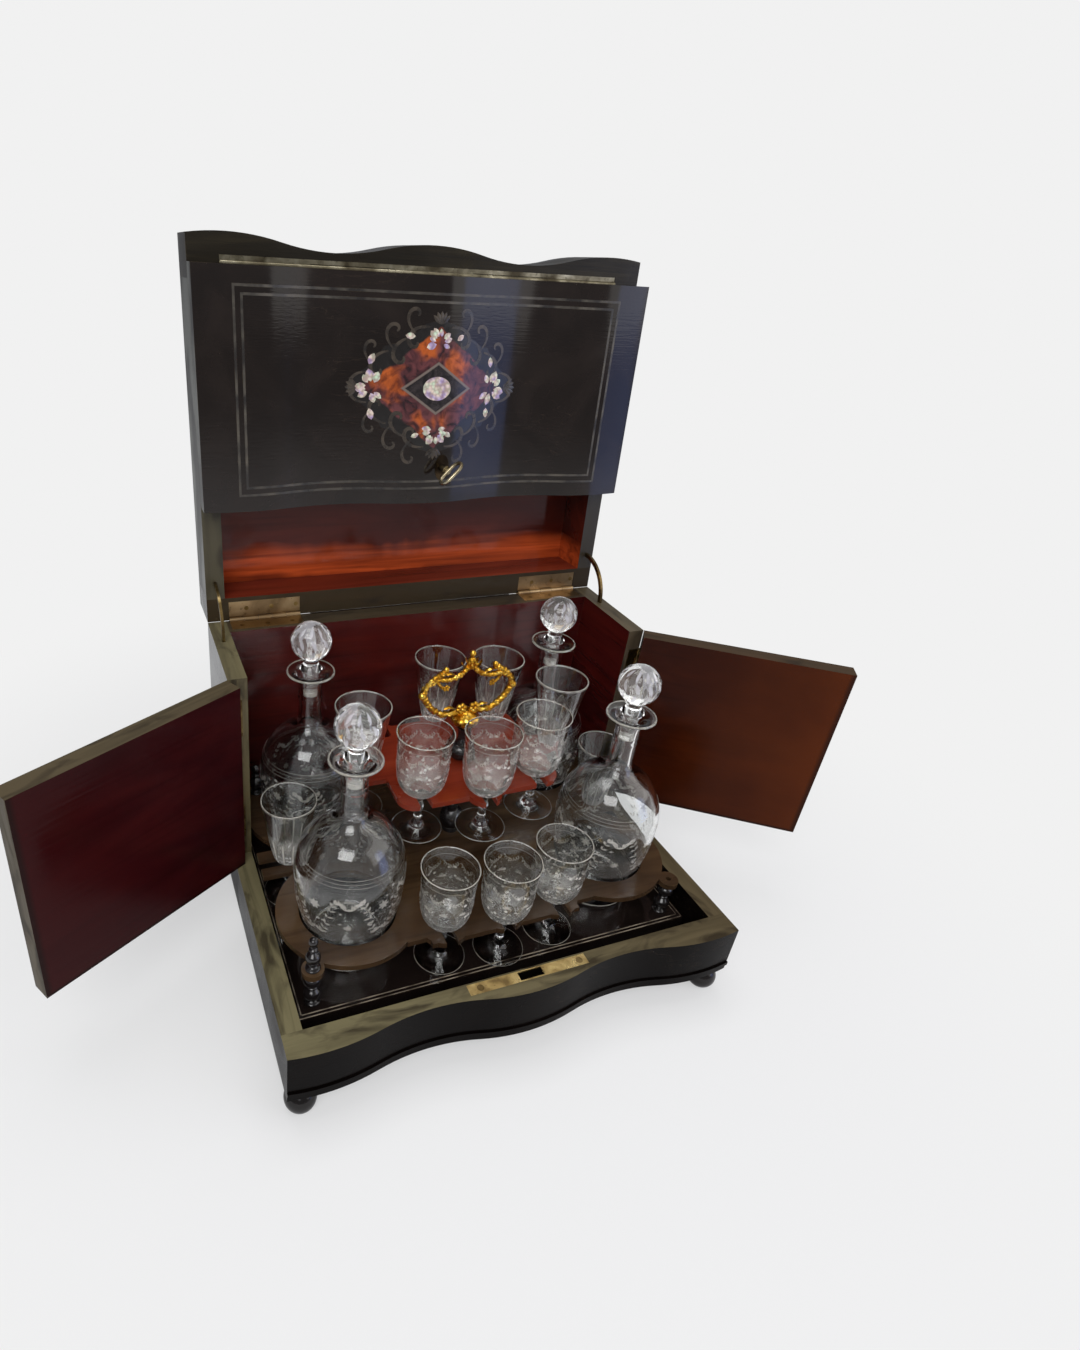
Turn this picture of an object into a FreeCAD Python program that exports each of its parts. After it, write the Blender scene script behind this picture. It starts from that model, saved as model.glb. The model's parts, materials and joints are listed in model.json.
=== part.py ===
import FreeCAD, Part
import os
import math
from FreeCAD import Vector

# Table-top liquor casket: a serpentine-fronted box whose lid, folding front panel and
# two side doors open round a lift-out rack of decanters and glasses.
# Frame: x to the right, y to the back, z up. It is drawn about the middle of the case and saved
# about the middle of the whole open model, on the table.

# Case; its inside follows the rack, and its height the stoppers
wall_t = 13.3
back_t = 17.9
foot_h = 20.0
foot_neck_h = 3.0
foot_r = 10.5
foot_inset_x = 10.5
foot_inset_front = 10.5
foot_inset_back = 12.0
foot_flat_share = 0.565
base_h = 40.0
front_rail_t = 14.9
floor_t = 8.0
side_wall_l = 84.1
lid_gap = 0.3
wave_depth = 8.5
crest_inset = 24.0
wave_setback = 3.6
moulding_h = 3.0
moulding_out = 1.2
moulding_up = 5.0

# Lid, open at this angle in the stored pose
lid_h = 40.0
lid_board_t = 8.0
lid_front_inner = 23.9
lid_open_deg = 93.6
edge_round = 1.6
stopper_clear = 10.1

# Folding front panel
panel_gap = 0.3
panel_foot_gap = 0.6
panel_relief = 2.5
pivot_setback = 14.0
string_t = 0.9
string_w = 1.6
string_inset_x = 24.0
string_inset_z = 10.5
string_step = 5.0
medal_w = 130.0
medal_h_share = 0.5856
medal_up_share = 0.5315
tip_share = 0.17
side_share = 0.93
cusp_share = 0.6
hollow_share = 0.94
boss_w = 21.0
boss_h = 16.0

# Doors, with the angle each stands open in the stored pose
door_gap = 0.4
door_front_gap = 1.0
left_open_deg = 59.6
right_open_deg = 54.7

# Butt hinges
leaf_t = 1.2
leaf_gap = 0.3
recess_slack = 0.05
pin_r = 0.9
pin_slack = 0.05
knuckle_slack = 0.2
lid_hinge_l = 54.0
lid_hinge_x = 122.0
lid_leaf_w = 14.5
lid_barrel_r = 2.4
panel_hinge_end = 20.0
panel_leaf_w = 4.5
panel_barrel_r = 1.6
door_hinge_l = 30.0
door_hinge_inset = 32.0
door_leaf_w = 9.5
door_barrel_r = 2.0

# Curved lid stays
stay_r = 30.0
stay_w = 3.4
stay_t = 2.0
stay_slack = 0.4
stay_tail_deg = 3.0
stay_root_deg = 14.0

# Lock and key
lock_x = 1.5
lock_w = 60.0
lock_h = 36.0
lock_t = 8.0
bolt_w = 16.0
bolt_t = 4.5
bolt_l = 15.0
bolt_slack = 0.3
bolt_travel = 6.0
key_x = 8.0
key_up = 26.0
key_r = 2.0
key_slack = 0.3
key_out = 17.0
key_bit_r = 5.5
key_bit_t = 2.0
key_bit_l = 3.2
bow_deep = 11.0
bow_wide = 19.5
bow_wire_r = 1.3
collar_share = 1.6
key_rest_deg = 45.0
scutcheon_w = 11.0
scutcheon_h = 19.0
scutcheon_out = 0.5
scutcheon_in = 0.8
keeper_w = 88.0
keeper_d = 8.0
keeper_t = 1.2
keeper_screw_inset = 7.0
screw_head_r = 2.4
screw_r = 1.3
screw_l = 9.0
mortise_slack = 0.8

# Rack, laid out from the decanters and glasses outwards
rack_gap = 1.2
rack_back_gap = 1.5
well_d = 20.0
tray_setback = 0.5
tray_front_step = 54.7
tray_back_step = 34.5
tray_t = 12.0
shelf_t = 4.0
shelf_h = 31.0
shelf_back_step = 38.0
glass_gap = 3.0
decanter_gap = 20.7
row_nest = 1.8
hole_gap = 1.0
lobe_w = 15.8
lobe_trim = 0.1
column_step = 36.0
column_front_step = 42.2
column_back_step = 28.5
column_lobe_r = 7.4
column_ball_r = 6.0
column_neck_r = 3.2
low_ball_share = 0.28
high_ball_share = 0.72
ball_reach_share = 0.22
stud_r = 1.8
stud_slack = 0.1
stud_l = 7.0
finial_h = 27.0
finial_r = 5.0
finial_tip_r = 3.0
finial_seat_share = 0.8
finial_waist_share = 0.32
finial_swell_share = 0.35
notch_w = 8.8
notch_reach_share = 3.0
tongue_r = 17.5
tongue_half_share = 0.4
front_glass_step = 32.7
middle_glass_step = 6.0
tongue_step = 8.6
shoulder_step = 8.5
shoulder_out = 29.0
side_glass_gap = 2.4
side_tongue_h = 25.0
upper_h = 101.0
upper_tongue_r = 12.5
upper_corner_r = 12.0
upper_gap = 5.0
upper_front_step = 33.0
upper_middle_step = 11.0
upper_side_gap = 13.2
upper_side_step = 0.5
upper_body_out = 17.0
upper_body_front = 46.0
upper_body_back = 49.0
upper_clear = 3.7
back_glass_gap = 5.4
back_glass_step = 40.0
back_middle_step = 10.0
post_step = 0.9
post_r = 6.5
post_ball_r = 9.0
post_slack = 0.1
post_start_share = 0.4
post_neck_share = 0.6
post_waist_share = 0.8
post_head_share = 0.9
post_drop_share = 1.6

# Gilt handle; shares of the arm's half width and height place the bends
handle_post_h = 27.0
handle_ball_share = 0.45
handle_bulge_share = 0.5
handle_neck_share = 0.75
handle_waist_share = 0.7
cup_h = 15.0
cup_r = 11.0
cup_foot_share = 0.45
cup_top_share = 0.35
branch_r = 2.7
branch_half_w = 38.0
branch_side_h = 19.0
root_share = 1.2
arm_mid_share = (0.62, 0.3)
horn_mid_share = (0.92, 0.55)
fork_share = (0.87, 0.62)
crown_mid_share = (0.8, 0.78)
horn_x = 21.0
horn_h = 38.0
crown_h = 40.0
crown_tip_h = 8.0
crown_ball_share = 1.2
crown_tip_share = 0.4
knob_r = 3.8
horn_knob_share = 0.8
rosette_r = 4.6
rosette_x = 5.0
rosette_up_share = 0.6

# Glasses and decanters; heights of the decanter's side are shares of its height
glass_wall = 1.3
stem_r = 3.0
foot_glass_r = 18.0
foot_glass_t = 1.6
foot_lift = 0.5
cove_out_share = 2.2
cove_low_share = 0.5
cove_high_share = 2.0
bowl_gap = 0.4
bowl_floor_share = 0.1
tall_a = 51.0
tall_b = 56.0
rim_a_r = 20.0
rim_b_r = 19.8
round_shares = [(0.5, 0.07), (0.83, 0.26), (0.92, 0.55), (0.93, 0.8), (1.0, 1.0)]
taper_shares = [(0.5, 0.07), (0.68, 0.3), (0.84, 0.62), (1.0, 1.0)]
decanter_wall = 3.0
decanter_floor = 6.0
decanter_r = 37.3
decanter_foot_r = 29.0
decanter_waist_r = 32.8
shoulder_r = 33.0
sweep_r = 14.5
neck_r = 8.6
lip_h = 158.0
lip_r = 17.5
lip_t = 3.0
belly_share = 0.443
shoulder_share = 0.57
sweep_share = 0.696
neck_share = 0.76
sweep_wall_share = 1.2
dome_h_share = 0.6
dome_r_share = 0.58
dip_h_share = 0.42
dip_r_share = 0.3
neck_collar_share = 0.42
neck_bead_share = 0.3
throat_share = 3.0
lip_curve_share = (0.72, 1.4)
lip_top_share = 0.94
plug_r = 5.6
plug_l = 20.0
plug_gap = 0.3
plug_end_share = 0.8
stopper_collar_share = 1.5
stopper_waist_share = 0.8
ball_rise = 24.0
stopper_ball_r = 14.5
ball_foot_share = (0.6, 0.8)

over = 5.0

# Heights and faces that follow
rim_z = foot_h + base_h
tray_z = foot_h + floor_t
tray_top = tray_z + tray_t
shelf_top = tray_top + shelf_h
shelf_under = shelf_top - shelf_t
upper_top = tray_top + upper_h
upper_under = upper_top - shelf_t
post_top = upper_top + handle_post_h
glass_drop = shelf_h - foot_lift
stopper_ball_h = lip_h + ball_rise
pivot_z = tray_top + stopper_ball_h + stopper_ball_r + stopper_clear - lid_h + lid_board_t
wall_top_z = pivot_z - lid_gap

front_glass_x = 2 * rim_a_r + glass_gap
decanter_x = front_glass_x + decanter_r + decanter_gap
column_x = decanter_x + column_step
hole_r = decanter_waist_r + hole_gap
lobe_r = hole_r + lobe_w
shelf_half_w = decanter_x + lobe_r - lobe_trim
tray_half_w = shelf_half_w - tray_setback
inner_x = shelf_half_w + rack_gap
half_w = inner_x + wall_t
wave_crest_x = half_w - crest_inset
panel_hinge_l = 2 * (half_w - panel_hinge_end)
side_glass_x = inner_x - rim_b_r - side_glass_gap
shoulder_x = front_glass_x + shoulder_out
upper_front_x = 2 * rim_a_r + upper_gap
upper_body_x = upper_front_x + upper_body_out
upper_side_x = upper_front_x + rim_b_r + upper_side_gap
upper_clear_r = decanter_r + upper_clear
back_glass_x = 2 * rim_b_r + back_glass_gap

decanter_pitch = 2 * (decanter_r + foot_glass_r) - row_nest
rack_d = tray_front_step + decanter_pitch + shelf_back_step
back_y = (front_rail_t + well_d + rack_d + rack_back_gap + back_t) / 2
inner_back_y = back_y - back_t
shelf_back = inner_back_y - rack_back_gap
decanter_back_y = shelf_back - shelf_back_step
decanter_front_y = decanter_back_y - decanter_pitch
tray_front = decanter_front_y - tray_front_step
tray_back = decanter_back_y + tray_back_step
column_front_y = decanter_front_y - column_front_step
column_back_y = decanter_back_y + column_back_step
front_glass_y = decanter_front_y - front_glass_step
middle_glass_y = front_glass_y - middle_glass_step
tongue_front_y = middle_glass_y - tongue_step
shoulder_y = front_glass_y - shoulder_step
post_y = (decanter_front_y + decanter_back_y) / 2 + post_step
upper_front_glass_y = post_y - upper_front_step
upper_middle_glass_y = upper_front_glass_y - upper_middle_step
upper_side_glass_y = post_y + upper_side_step
back_glass_y = post_y + back_glass_step
back_middle_glass_y = back_glass_y + back_middle_step
upper_front_y = post_y - upper_body_front
upper_back_y = post_y + upper_body_back

valley_y = -back_y + wave_depth - wave_setback
crest_y = -back_y - wave_setback
door_pivot_y = back_y - side_wall_l
rail_inner_y = -back_y + front_rail_t
panel_pivot_y = -back_y + pivot_setback
panel_inner_y = panel_pivot_y - panel_gap
panel_foot_z = rim_z + panel_foot_gap
panel_top_z = pivot_z - panel_gap
panel_h = panel_top_z - panel_foot_z
lid_rail_inner_y = -back_y + lid_front_inner

# The middle of the open model: doors to the sides, moulding in front, lid edge behind
door_front_y = panel_pivot_y + door_front_gap
door_l = door_pivot_y - door_front_y
left_reach = half_w + door_l * math.sin(math.radians(left_open_deg))
right_reach = half_w + door_l * math.sin(math.radians(right_open_deg))
lid_lean = math.radians(lid_open_deg) - math.pi / 2
lid_reach = back_y + edge_round + (lid_h - edge_round) * math.cos(lid_lean)
lid_reach += (back_y - crest_y - edge_round) * math.sin(lid_lean)
open_mid_x = (right_reach - left_reach) / 2
open_mid_y = (lid_reach + crest_y - moulding_out) / 2

X = Vector(1, 0, 0)
Y = Vector(0, 1, 0)
Z = Vector(0, 0, 1)
ORIGIN = Vector(0, 0, 0)


def save(node, shape):
    moved = shape.copy()
    moved.translate(Vector(-open_mid_x, -open_mid_y, 0))
    moved.exportStep("parts/" + node + ".step")


def box(x0, x1, y0, y1, z0, z1):
    return Part.makeBox(x1 - x0, y1 - y0, z1 - z0, Vector(x0, y0, z0))


def disc(x, y, r, z0, z1):
    return Part.makeCylinder(r, z1 - z0, Vector(x, y, z0))


def ball(x, y, z, r):
    return Part.makeSphere(r, Vector(x, y, z))


def fused(shapes):
    shapes = list(shapes)
    whole = shapes[0]
    if len(shapes) > 1:
        whole = whole.multiFuse(shapes[1:])
    return whole.removeSplitter()


def turned_x(shape, y, z, degrees):
    moved = shape.copy()
    moved.rotate(Vector(0, y, z), X, degrees)
    return moved


def turned_z(shape, x, y, degrees):
    moved = shape.copy()
    moved.rotate(Vector(x, y, 0), Z, degrees)
    return moved


def wave_edges(shift):
    """The serpentine front in plan, left to right, as tangent arcs moved back by shift."""
    half_wave = wave_crest_x / 2
    radius = (half_wave ** 2 + wave_depth ** 2) / (4 * wave_depth)
    crests = [-wave_crest_x, 0, wave_crest_x]
    valleys = [-half_wave, half_wave]

    def height(x):
        crest = min(crests, key=lambda c: abs(c - x))
        valley = min(valleys, key=lambda v: abs(v - x))
        if abs(crest - x) <= abs(valley - x) or abs(x) > wave_crest_x:
            return crest_y + radius - math.sqrt(radius ** 2 - (x - crest) ** 2)
        return valley_y - radius + math.sqrt(radius ** 2 - (x - valley) ** 2)

    knots = [-half_w] + [half_wave * (k - 1.5) for k in range(4)] + [half_w]
    edges = []
    for a, b in zip(knots, knots[1:]):
        marks = [Vector(x, height(x) + shift, 0) for x in (a, (a + b) / 2, b)]
        edges.append(Part.Arc(*marks).toShape())
    return edges


def wave_prism(shift, inner_y, z0, z1):
    """A block between the serpentine front and the straight line y = inner_y."""
    edges = wave_edges(shift)
    left = edges[0].Vertexes[0].Point
    right = edges[-1].Vertexes[-1].Point
    back_right = Vector(right.x, inner_y, 0)
    back_left = Vector(left.x, inner_y, 0)
    edges.append(Part.makeLine(right, back_right))
    edges.append(Part.makeLine(back_right, back_left))
    edges.append(Part.makeLine(back_left, left))
    face = Part.Face(Part.Wire(edges))
    face.translate(Vector(0, 0, z0))
    return face.extrude(Vector(0, 0, z1 - z0))


def face_skin(outward, inward, z0, z1):
    """A thin layer that follows the serpentine face of the panel."""
    layer = wave_prism(-outward, rail_inner_y, z0, z1)
    return layer.cut(wave_prism(inward, rail_inner_y + over, z0 - over, z1 + over))


def turned_piece(x, y, z, edges):
    """Revolves a closed profile, drawn as (radius, 0, height), about the axis at x, y."""
    solid = Part.Face(Part.Wire(Part.__sortEdges__(edges))).revolve(ORIGIN, Z, 360)
    solid.translate(Vector(x, y, z))
    return solid


def line(r0, h0, r1, h1):
    return Part.makeLine(Vector(r0, 0, h0), Vector(r1, 0, h1))


def arc(r0, h0, rm, hm, r1, h1):
    return Part.Arc(Vector(r0, 0, h0), Vector(rm, 0, hm), Vector(r1, 0, h1)).toShape()


def curve(marks):
    spline = Part.BSplineCurve()
    spline.interpolate([Vector(r, 0, h) for r, h in marks])
    return spline.toShape()


def arc_rod(start, middle, end, r):
    """A round rod along an arc through three points."""
    path = Part.Arc(start, middle, end).toShape()
    along = path.tangentAt(path.FirstParameter)
    section = Part.Wire([Part.makeCircle(r, start, along)])
    return Part.Wire([path]).makePipeShell([section], True, False)


# Hinges. The pin lies along x through the origin; the fixed leaf is below, the moving one above.

def hinge_parts(length, leaf_w, barrel_r):
    knuckle = length / 5
    near = barrel_r + leaf_gap

    def leaf(side, slots):
        z0, z1 = sorted([side * leaf_gap, side * (leaf_gap + leaf_t)])
        solids = [box(-length / 2, length / 2, -leaf_w, -near, z0, z1)]
        for k in slots:
            x0 = -length / 2 + k * knuckle + knuckle_slack / 2
            x1 = x0 + knuckle - knuckle_slack
            solids.append(box(x0, x1, -near, 0, z0, z1))
            solids.append(Part.makeCylinder(barrel_r, x1 - x0, Vector(x0, 0, 0), X))
        return fused(solids)

    def bore(r):
        return Part.makeCylinder(r, length + 2 * over, Vector(-length / 2 - over, 0, 0), X)

    pin = Part.makeCylinder(pin_r, length, Vector(-length / 2, 0, 0), X)
    fixed = fused([leaf(-1, (0, 2, 4)).cut(bore(pin_r)), pin])
    moving = leaf(1, (1, 3)).cut(bore(pin_r + pin_slack))
    return fixed, moving


def hinge_recess(length, leaf_w, barrel_r, side):
    """The space that one leaf and the barrel take out of the wood."""
    half = length / 2 + recess_slack
    z0, z1 = sorted([side * recess_slack * -1, side * (leaf_gap + leaf_t + recess_slack)])
    seat = box(-half, half, -leaf_w - recess_slack, 0, z0, z1)
    barrel = Part.makeCylinder(barrel_r + leaf_gap, 2 * half, Vector(-half, 0, 0), X)
    return fused([seat, barrel])


def placed(shape, origin, along, across):
    """Puts a hinge shape at origin: its x runs along, its y runs across."""
    up = along.cross(across)
    matrix = FreeCAD.Matrix(
        along.x, across.x, up.x, origin.x,
        along.y, across.y, up.y, origin.y,
        along.z, across.z, up.z, origin.z,
        0, 0, 0, 1)
    moved = shape.copy()
    moved.Placement = FreeCAD.Placement(matrix)
    return moved


lid_hinge_places = [(Vector(s * lid_hinge_x, back_y, pivot_z), X, Y) for s in (-1, 1)]
panel_hinge_places = [(Vector(0, panel_pivot_y, pivot_z), X * -1, Y)]
door_hinge_zs = [rim_z + door_hinge_inset, wall_top_z - door_hinge_inset]


def door_hinge_places(side):
    """side is -1 on the left and 1 on the right."""
    return [(Vector(side * half_w, door_pivot_y, z), Z * -side, X * side)
            for z in door_hinge_zs]


def hinge_set(sizes, places, member):
    return [placed(hinge_parts(*sizes)[member], *place) for place in places]


def recesses(sizes, places, side):
    return fused([placed(hinge_recess(*sizes, side), *place) for place in places])


lid_hinge = (lid_hinge_l, lid_leaf_w, lid_barrel_r)
panel_hinge = (panel_hinge_l, panel_leaf_w, panel_barrel_r)
door_hinge = (door_hinge_l, door_leaf_w, door_barrel_r)


def opened_lid(shape):
    return turned_x(shape, back_y, pivot_z, -lid_open_deg)


def folded_panel(shape):
    return opened_lid(turned_x(shape, panel_pivot_y, pivot_z, 90))


# Case

def keeper_pieces():
    """Brass plate let into the front rim, its slot, and the two screws."""
    mid_y = (rail_inner_y + valley_y) / 2
    z0 = rim_z - keeper_t
    plate = box(-keeper_w / 2, keeper_w / 2, mid_y - keeper_d / 2, mid_y + keeper_d / 2, z0, rim_z)
    slot = box(lock_x - bolt_w / 2 - mortise_slack, lock_x + bolt_w / 2 + mortise_slack,
               mid_y - bolt_t / 2 - mortise_slack, mid_y + bolt_t / 2 + mortise_slack,
               rim_z - bolt_travel - keeper_t, rim_z + over)
    screws = []
    for side in (-1, 1):
        x = lock_x + side * (keeper_w / 2 - keeper_screw_inset)
        head = Part.makeCone(screw_r, screw_head_r, keeper_t, Vector(x, mid_y, z0))
        shank = disc(x, mid_y, screw_r, rim_z - screw_l, z0)
        screws.append(fused([head, shank]))
    return plate, slot, Part.makeCompound(screws)


def front_rail(seat, slot, screws):
    rail = wave_prism(0, rail_inner_y, foot_h, rim_z)
    mould_z = foot_h + moulding_up
    mould = wave_prism(-moulding_out, rail_inner_y, mould_z, mould_z + moulding_h)
    return fused([rail, mould]).cut(seat).cut(slot).cut(screws)


def side_wall(side):
    """The fixed part of a side, behind the door, with the slot for the curved stay."""
    x0, x1 = sorted([side * inner_x, side * half_w])
    wall = box(x0, x1, door_pivot_y, back_y, rim_z, wall_top_z)
    wall = wall.cut(stay_sweep(side))
    return wall.cut(recesses(door_hinge, door_hinge_places(side), -1))


def stay_sweep(side):
    """The path of a stay in the side wall, out through the back face."""
    mid_x = side * (half_w - wall_t / 2)
    width = stay_t + stay_slack
    centre = Vector(mid_x - width / 2, back_y, pivot_z)
    outer = Part.makeCylinder(stay_r + stay_w / 2 + stay_slack, width, centre, X)
    inner = Part.makeCylinder(stay_r - stay_w / 2 - stay_slack, width, centre, X)
    ring = outer.cut(inner)
    return ring.common(box(mid_x - width, mid_x + width, door_pivot_y, back_y + over,
                           rim_z, pivot_z + over))


def back_panel():
    panel = box(-inner_x, inner_x, inner_back_y, back_y, foot_h, wall_top_z)
    return panel.cut(recesses(lid_hinge, lid_hinge_places, -1))


def bun_foot(x, y):
    neck = foot_r * foot_flat_share
    ball_h = foot_h - foot_neck_h
    edges = [
        line(0, 0, neck, 0),
        arc(neck, 0, foot_r, ball_h / 2, neck, ball_h),
        line(neck, ball_h, neck, foot_h),
        line(neck, foot_h, 0, foot_h),
        line(0, foot_h, 0, 0)]
    return turned_piece(x, y, 0, edges)


def build_case():
    plate, slot, screws = keeper_pieces()
    save("front_rail", front_rail(plate, slot, screws))
    save("keeper_plate", plate.cut(slot).cut(screws))
    save("keeper_screws", screws)
    rails = [box(*sorted([s * inner_x, s * half_w]), rail_inner_y, back_y, foot_h, rim_z)
             for s in (-1, 1)]
    save("side_rails", Part.makeCompound(rails))
    save("floor_board", box(-inner_x, inner_x, rail_inner_y, inner_back_y, foot_h, tray_z))
    save("back_panel", back_panel())
    save("side_wall_left", side_wall(-1))
    save("side_wall_right", side_wall(1))
    feet = [bun_foot(side * (half_w - foot_inset_x), y) for side in (-1, 1)
            for y in (crest_y + foot_inset_front, back_y - foot_inset_back)]
    save("bun_feet", Part.makeCompound(feet))
    save("lid_hinge_case_leaves", Part.makeCompound(hinge_set(lid_hinge, lid_hinge_places, 0)))
    leaves = hinge_set(door_hinge, door_hinge_places(-1), 0)
    leaves += hinge_set(door_hinge, door_hinge_places(1), 0)
    save("door_hinge_case_leaves", Part.makeCompound(leaves))


# Lid, drawn closed and then opened

def lid_stay(side):
    """Curved brass stay: it stands in the wall's slot and is let into the lid's side rail."""
    mid_x = side * (half_w - wall_t / 2)
    sweep = lid_open_deg + stay_tail_deg + stay_root_deg
    section = Part.Face(Part.makePolygon([
        Vector(mid_x - stay_t / 2, back_y - stay_r - stay_w / 2, pivot_z),
        Vector(mid_x + stay_t / 2, back_y - stay_r - stay_w / 2, pivot_z),
        Vector(mid_x + stay_t / 2, back_y - stay_r + stay_w / 2, pivot_z),
        Vector(mid_x - stay_t / 2, back_y - stay_r + stay_w / 2, pivot_z),
        Vector(mid_x - stay_t / 2, back_y - stay_r - stay_w / 2, pivot_z)]))
    section.rotate(Vector(0, back_y, pivot_z), X, -stay_root_deg)
    return section.revolve(Vector(0, back_y, pivot_z), X, sweep)


def build_lid():
    top_z = pivot_z + lid_h
    board_z = top_z - lid_board_t
    stays = Part.makeCompound([lid_stay(s) for s in (-1, 1)])
    board = wave_prism(0, back_y, board_z, top_z)
    rim = [e for e in board.Edges if e.BoundBox.ZMin > top_z - edge_round]
    save("lid_top", opened_lid(board.makeFillet(edge_round, rim)))
    front = wave_prism(0, lid_rail_inner_y, pivot_z, board_z)
    save("lid_front_rail", opened_lid(front.cut(recesses(panel_hinge, panel_hinge_places, -1))))
    sides = [box(*sorted([s * inner_x, s * half_w]), lid_rail_inner_y, inner_back_y,
                 pivot_z, board_z).cut(stays) for s in (-1, 1)]
    save("lid_side_rails", opened_lid(Part.makeCompound(sides)))
    rear = box(-half_w, half_w, inner_back_y, back_y, pivot_z, board_z)
    save("lid_rear_rail", opened_lid(rear.cut(recesses(lid_hinge, lid_hinge_places, 1))))
    save("lid_hinge_leaves",
         opened_lid(Part.makeCompound(hinge_set(lid_hinge, lid_hinge_places, 1))))
    save("lid_stays", opened_lid(stays))
    save("panel_hinge_lid_leaves",
         opened_lid(Part.makeCompound(hinge_set(panel_hinge, panel_hinge_places, 0))))


# Front panel, drawn shut and then folded back under the open lid

def medallion_outline(width, height):
    """A cartouche in the x, z plane: rounded tips joined by pairs of hollow arcs."""
    a = width / 2
    b = height / 2
    tip_z = b * tip_share
    tip_x = a * tip_share
    edges = []
    for sx, sz in ((1, 1), (-1, 1), (-1, -1), (1, -1)):
        side = Vector(sx * a * side_share, 0, sz * tip_z)
        cusp = Vector(sx * a * cusp_share, 0, sz * b * cusp_share)
        crown = Vector(sx * tip_x, 0, sz * b * side_share)
        for start, end in ((side, cusp), (cusp, crown)):
            edges.append(Part.Arc(start, (start + end) * (hollow_share / 2), end).toShape())
        edges.append(Part.makeLine(Vector(sx * a, 0, 0), side))
        edges.append(Part.makeLine(Vector(0, 0, sz * b), crown))
    return Part.Wire(Part.__sortEdges__(edges))


def through_face(wire, x, z):
    """A prism through the serpentine face from a wire drawn in the x, z plane."""
    face = Part.Face(wire)
    face.translate(Vector(x, crest_y - over, z))
    return face.extrude(Vector(0, wave_depth + 2 * over, 0))


def oval(width, height):
    ellipse = Part.Ellipse(ORIGIN, max(width, height) / 2, min(width, height) / 2)
    wire = Part.Wire([ellipse.toShape()])
    wire.rotate(ORIGIN, X, 90)
    if height > width:
        wire.rotate(ORIGIN, Y, 90)
    return wire


def frame_prism(inset_x, inset_z):
    """The path of one inlaid line, a rectangle inside the panel's edge."""
    y0 = crest_y - over
    y1 = valley_y + over
    outer = box(-half_w + inset_x, half_w - inset_x, y0, y1,
                panel_foot_z + inset_z, panel_top_z - inset_z)
    step_x = inset_x + string_w
    step_z = inset_z + string_w
    inner = box(-half_w + step_x, half_w - step_x, y0, y1,
                panel_foot_z + step_z, panel_top_z - step_z)
    return outer.cut(inner)


def panel_inlays():
    skin = face_skin(0, string_t, panel_foot_z, panel_top_z)
    lines = [frame_prism(string_inset_x + k * string_step, string_inset_z + k * string_step)
             for k in range(2)]
    strings = Part.makeCompound([skin.common(one) for one in lines])
    mid_z = panel_foot_z + panel_h * medal_up_share
    outline = medallion_outline(medal_w, panel_h * medal_h_share)
    medal = skin.common(through_face(outline, 0, mid_z))
    boss = skin.common(through_face(oval(boss_w, boss_h), 0, mid_z))
    return strings, medal.cut(boss), boss


def lock_pieces():
    """Lock case with its bolt, keyhole cylinder and the space where the key's bit turns."""
    mid_y = (rail_inner_y + valley_y) / 2
    lock_y = panel_inner_y - lock_t
    mid_lock_y = lock_y + lock_t / 2
    key_z = panel_foot_z + key_up
    case = box(lock_x - lock_w / 2, lock_x + lock_w / 2, lock_y, panel_inner_y,
               panel_foot_z, panel_foot_z + lock_h)
    bolt_x0 = lock_x - bolt_w / 2
    bolt_x1 = lock_x + bolt_w / 2
    bolt = box(bolt_x0, bolt_x1, mid_y - bolt_t / 2, mid_y + bolt_t / 2,
               panel_foot_z, panel_foot_z + bolt_l)
    channel = box(bolt_x0 - bolt_slack, bolt_x1 + bolt_slack,
                  mid_y - bolt_t / 2 - bolt_slack, mid_y + bolt_t / 2 + bolt_slack,
                  panel_foot_z - over, panel_foot_z + bolt_l + bolt_slack)
    hole = Part.makeCylinder(key_r + key_slack, back_y, Vector(key_x, mid_lock_y, key_z), Y * -1)
    turning = Part.makeCylinder(key_bit_r + key_slack, key_bit_l + 2 * key_slack,
                                Vector(key_x, mid_lock_y + key_slack, key_z), Y * -1)
    return case, bolt, channel, hole, turning


def wire_loop(wide, deep, r):
    """A flat loop of round wire in the x, y plane: two half rings and two straight sides."""
    bend = deep / 2
    half = wide / 2 - bend
    solids = []
    for side in (-1, 1):
        section = Part.Face(Part.Wire([Part.makeCircle(r, Vector(side * half, -side * bend, 0), X)]))
        solids.append(section.revolve(Vector(side * half, 0, 0), Z, 180))
        solids.append(Part.makeCylinder(r, 2 * half, Vector(-half, side * bend, 0), X))
    return fused(solids)


def make_key():
    """Shaft through the keyhole, a bit inside the lock, and a long wire bow outside."""
    key_z = panel_foot_z + key_up
    inner_y = panel_inner_y - lock_t / 2
    bow_y = crest_y - key_out
    shaft_end = bow_y + bow_deep / 2
    shaft = Part.makeCylinder(key_r, inner_y - shaft_end, Vector(key_x, inner_y, key_z), Y * -1)
    collar_y = shaft_end + key_r * 2
    collar = Part.makeCylinder(key_r * collar_share, key_r, Vector(key_x, collar_y, key_z), Y * -1)
    bit = box(key_x - key_bit_t / 2, key_x + key_bit_t / 2, inner_y - key_bit_l, inner_y,
              key_z - key_bit_r, key_z)
    bow = wire_loop(bow_wide, bow_deep, bow_wire_r)
    bow.translate(Vector(key_x, bow_y, key_z))
    whole = fused([shaft, collar, bit, bow])
    whole.rotate(Vector(key_x, 0, key_z), Y, -key_rest_deg)
    return whole


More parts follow.
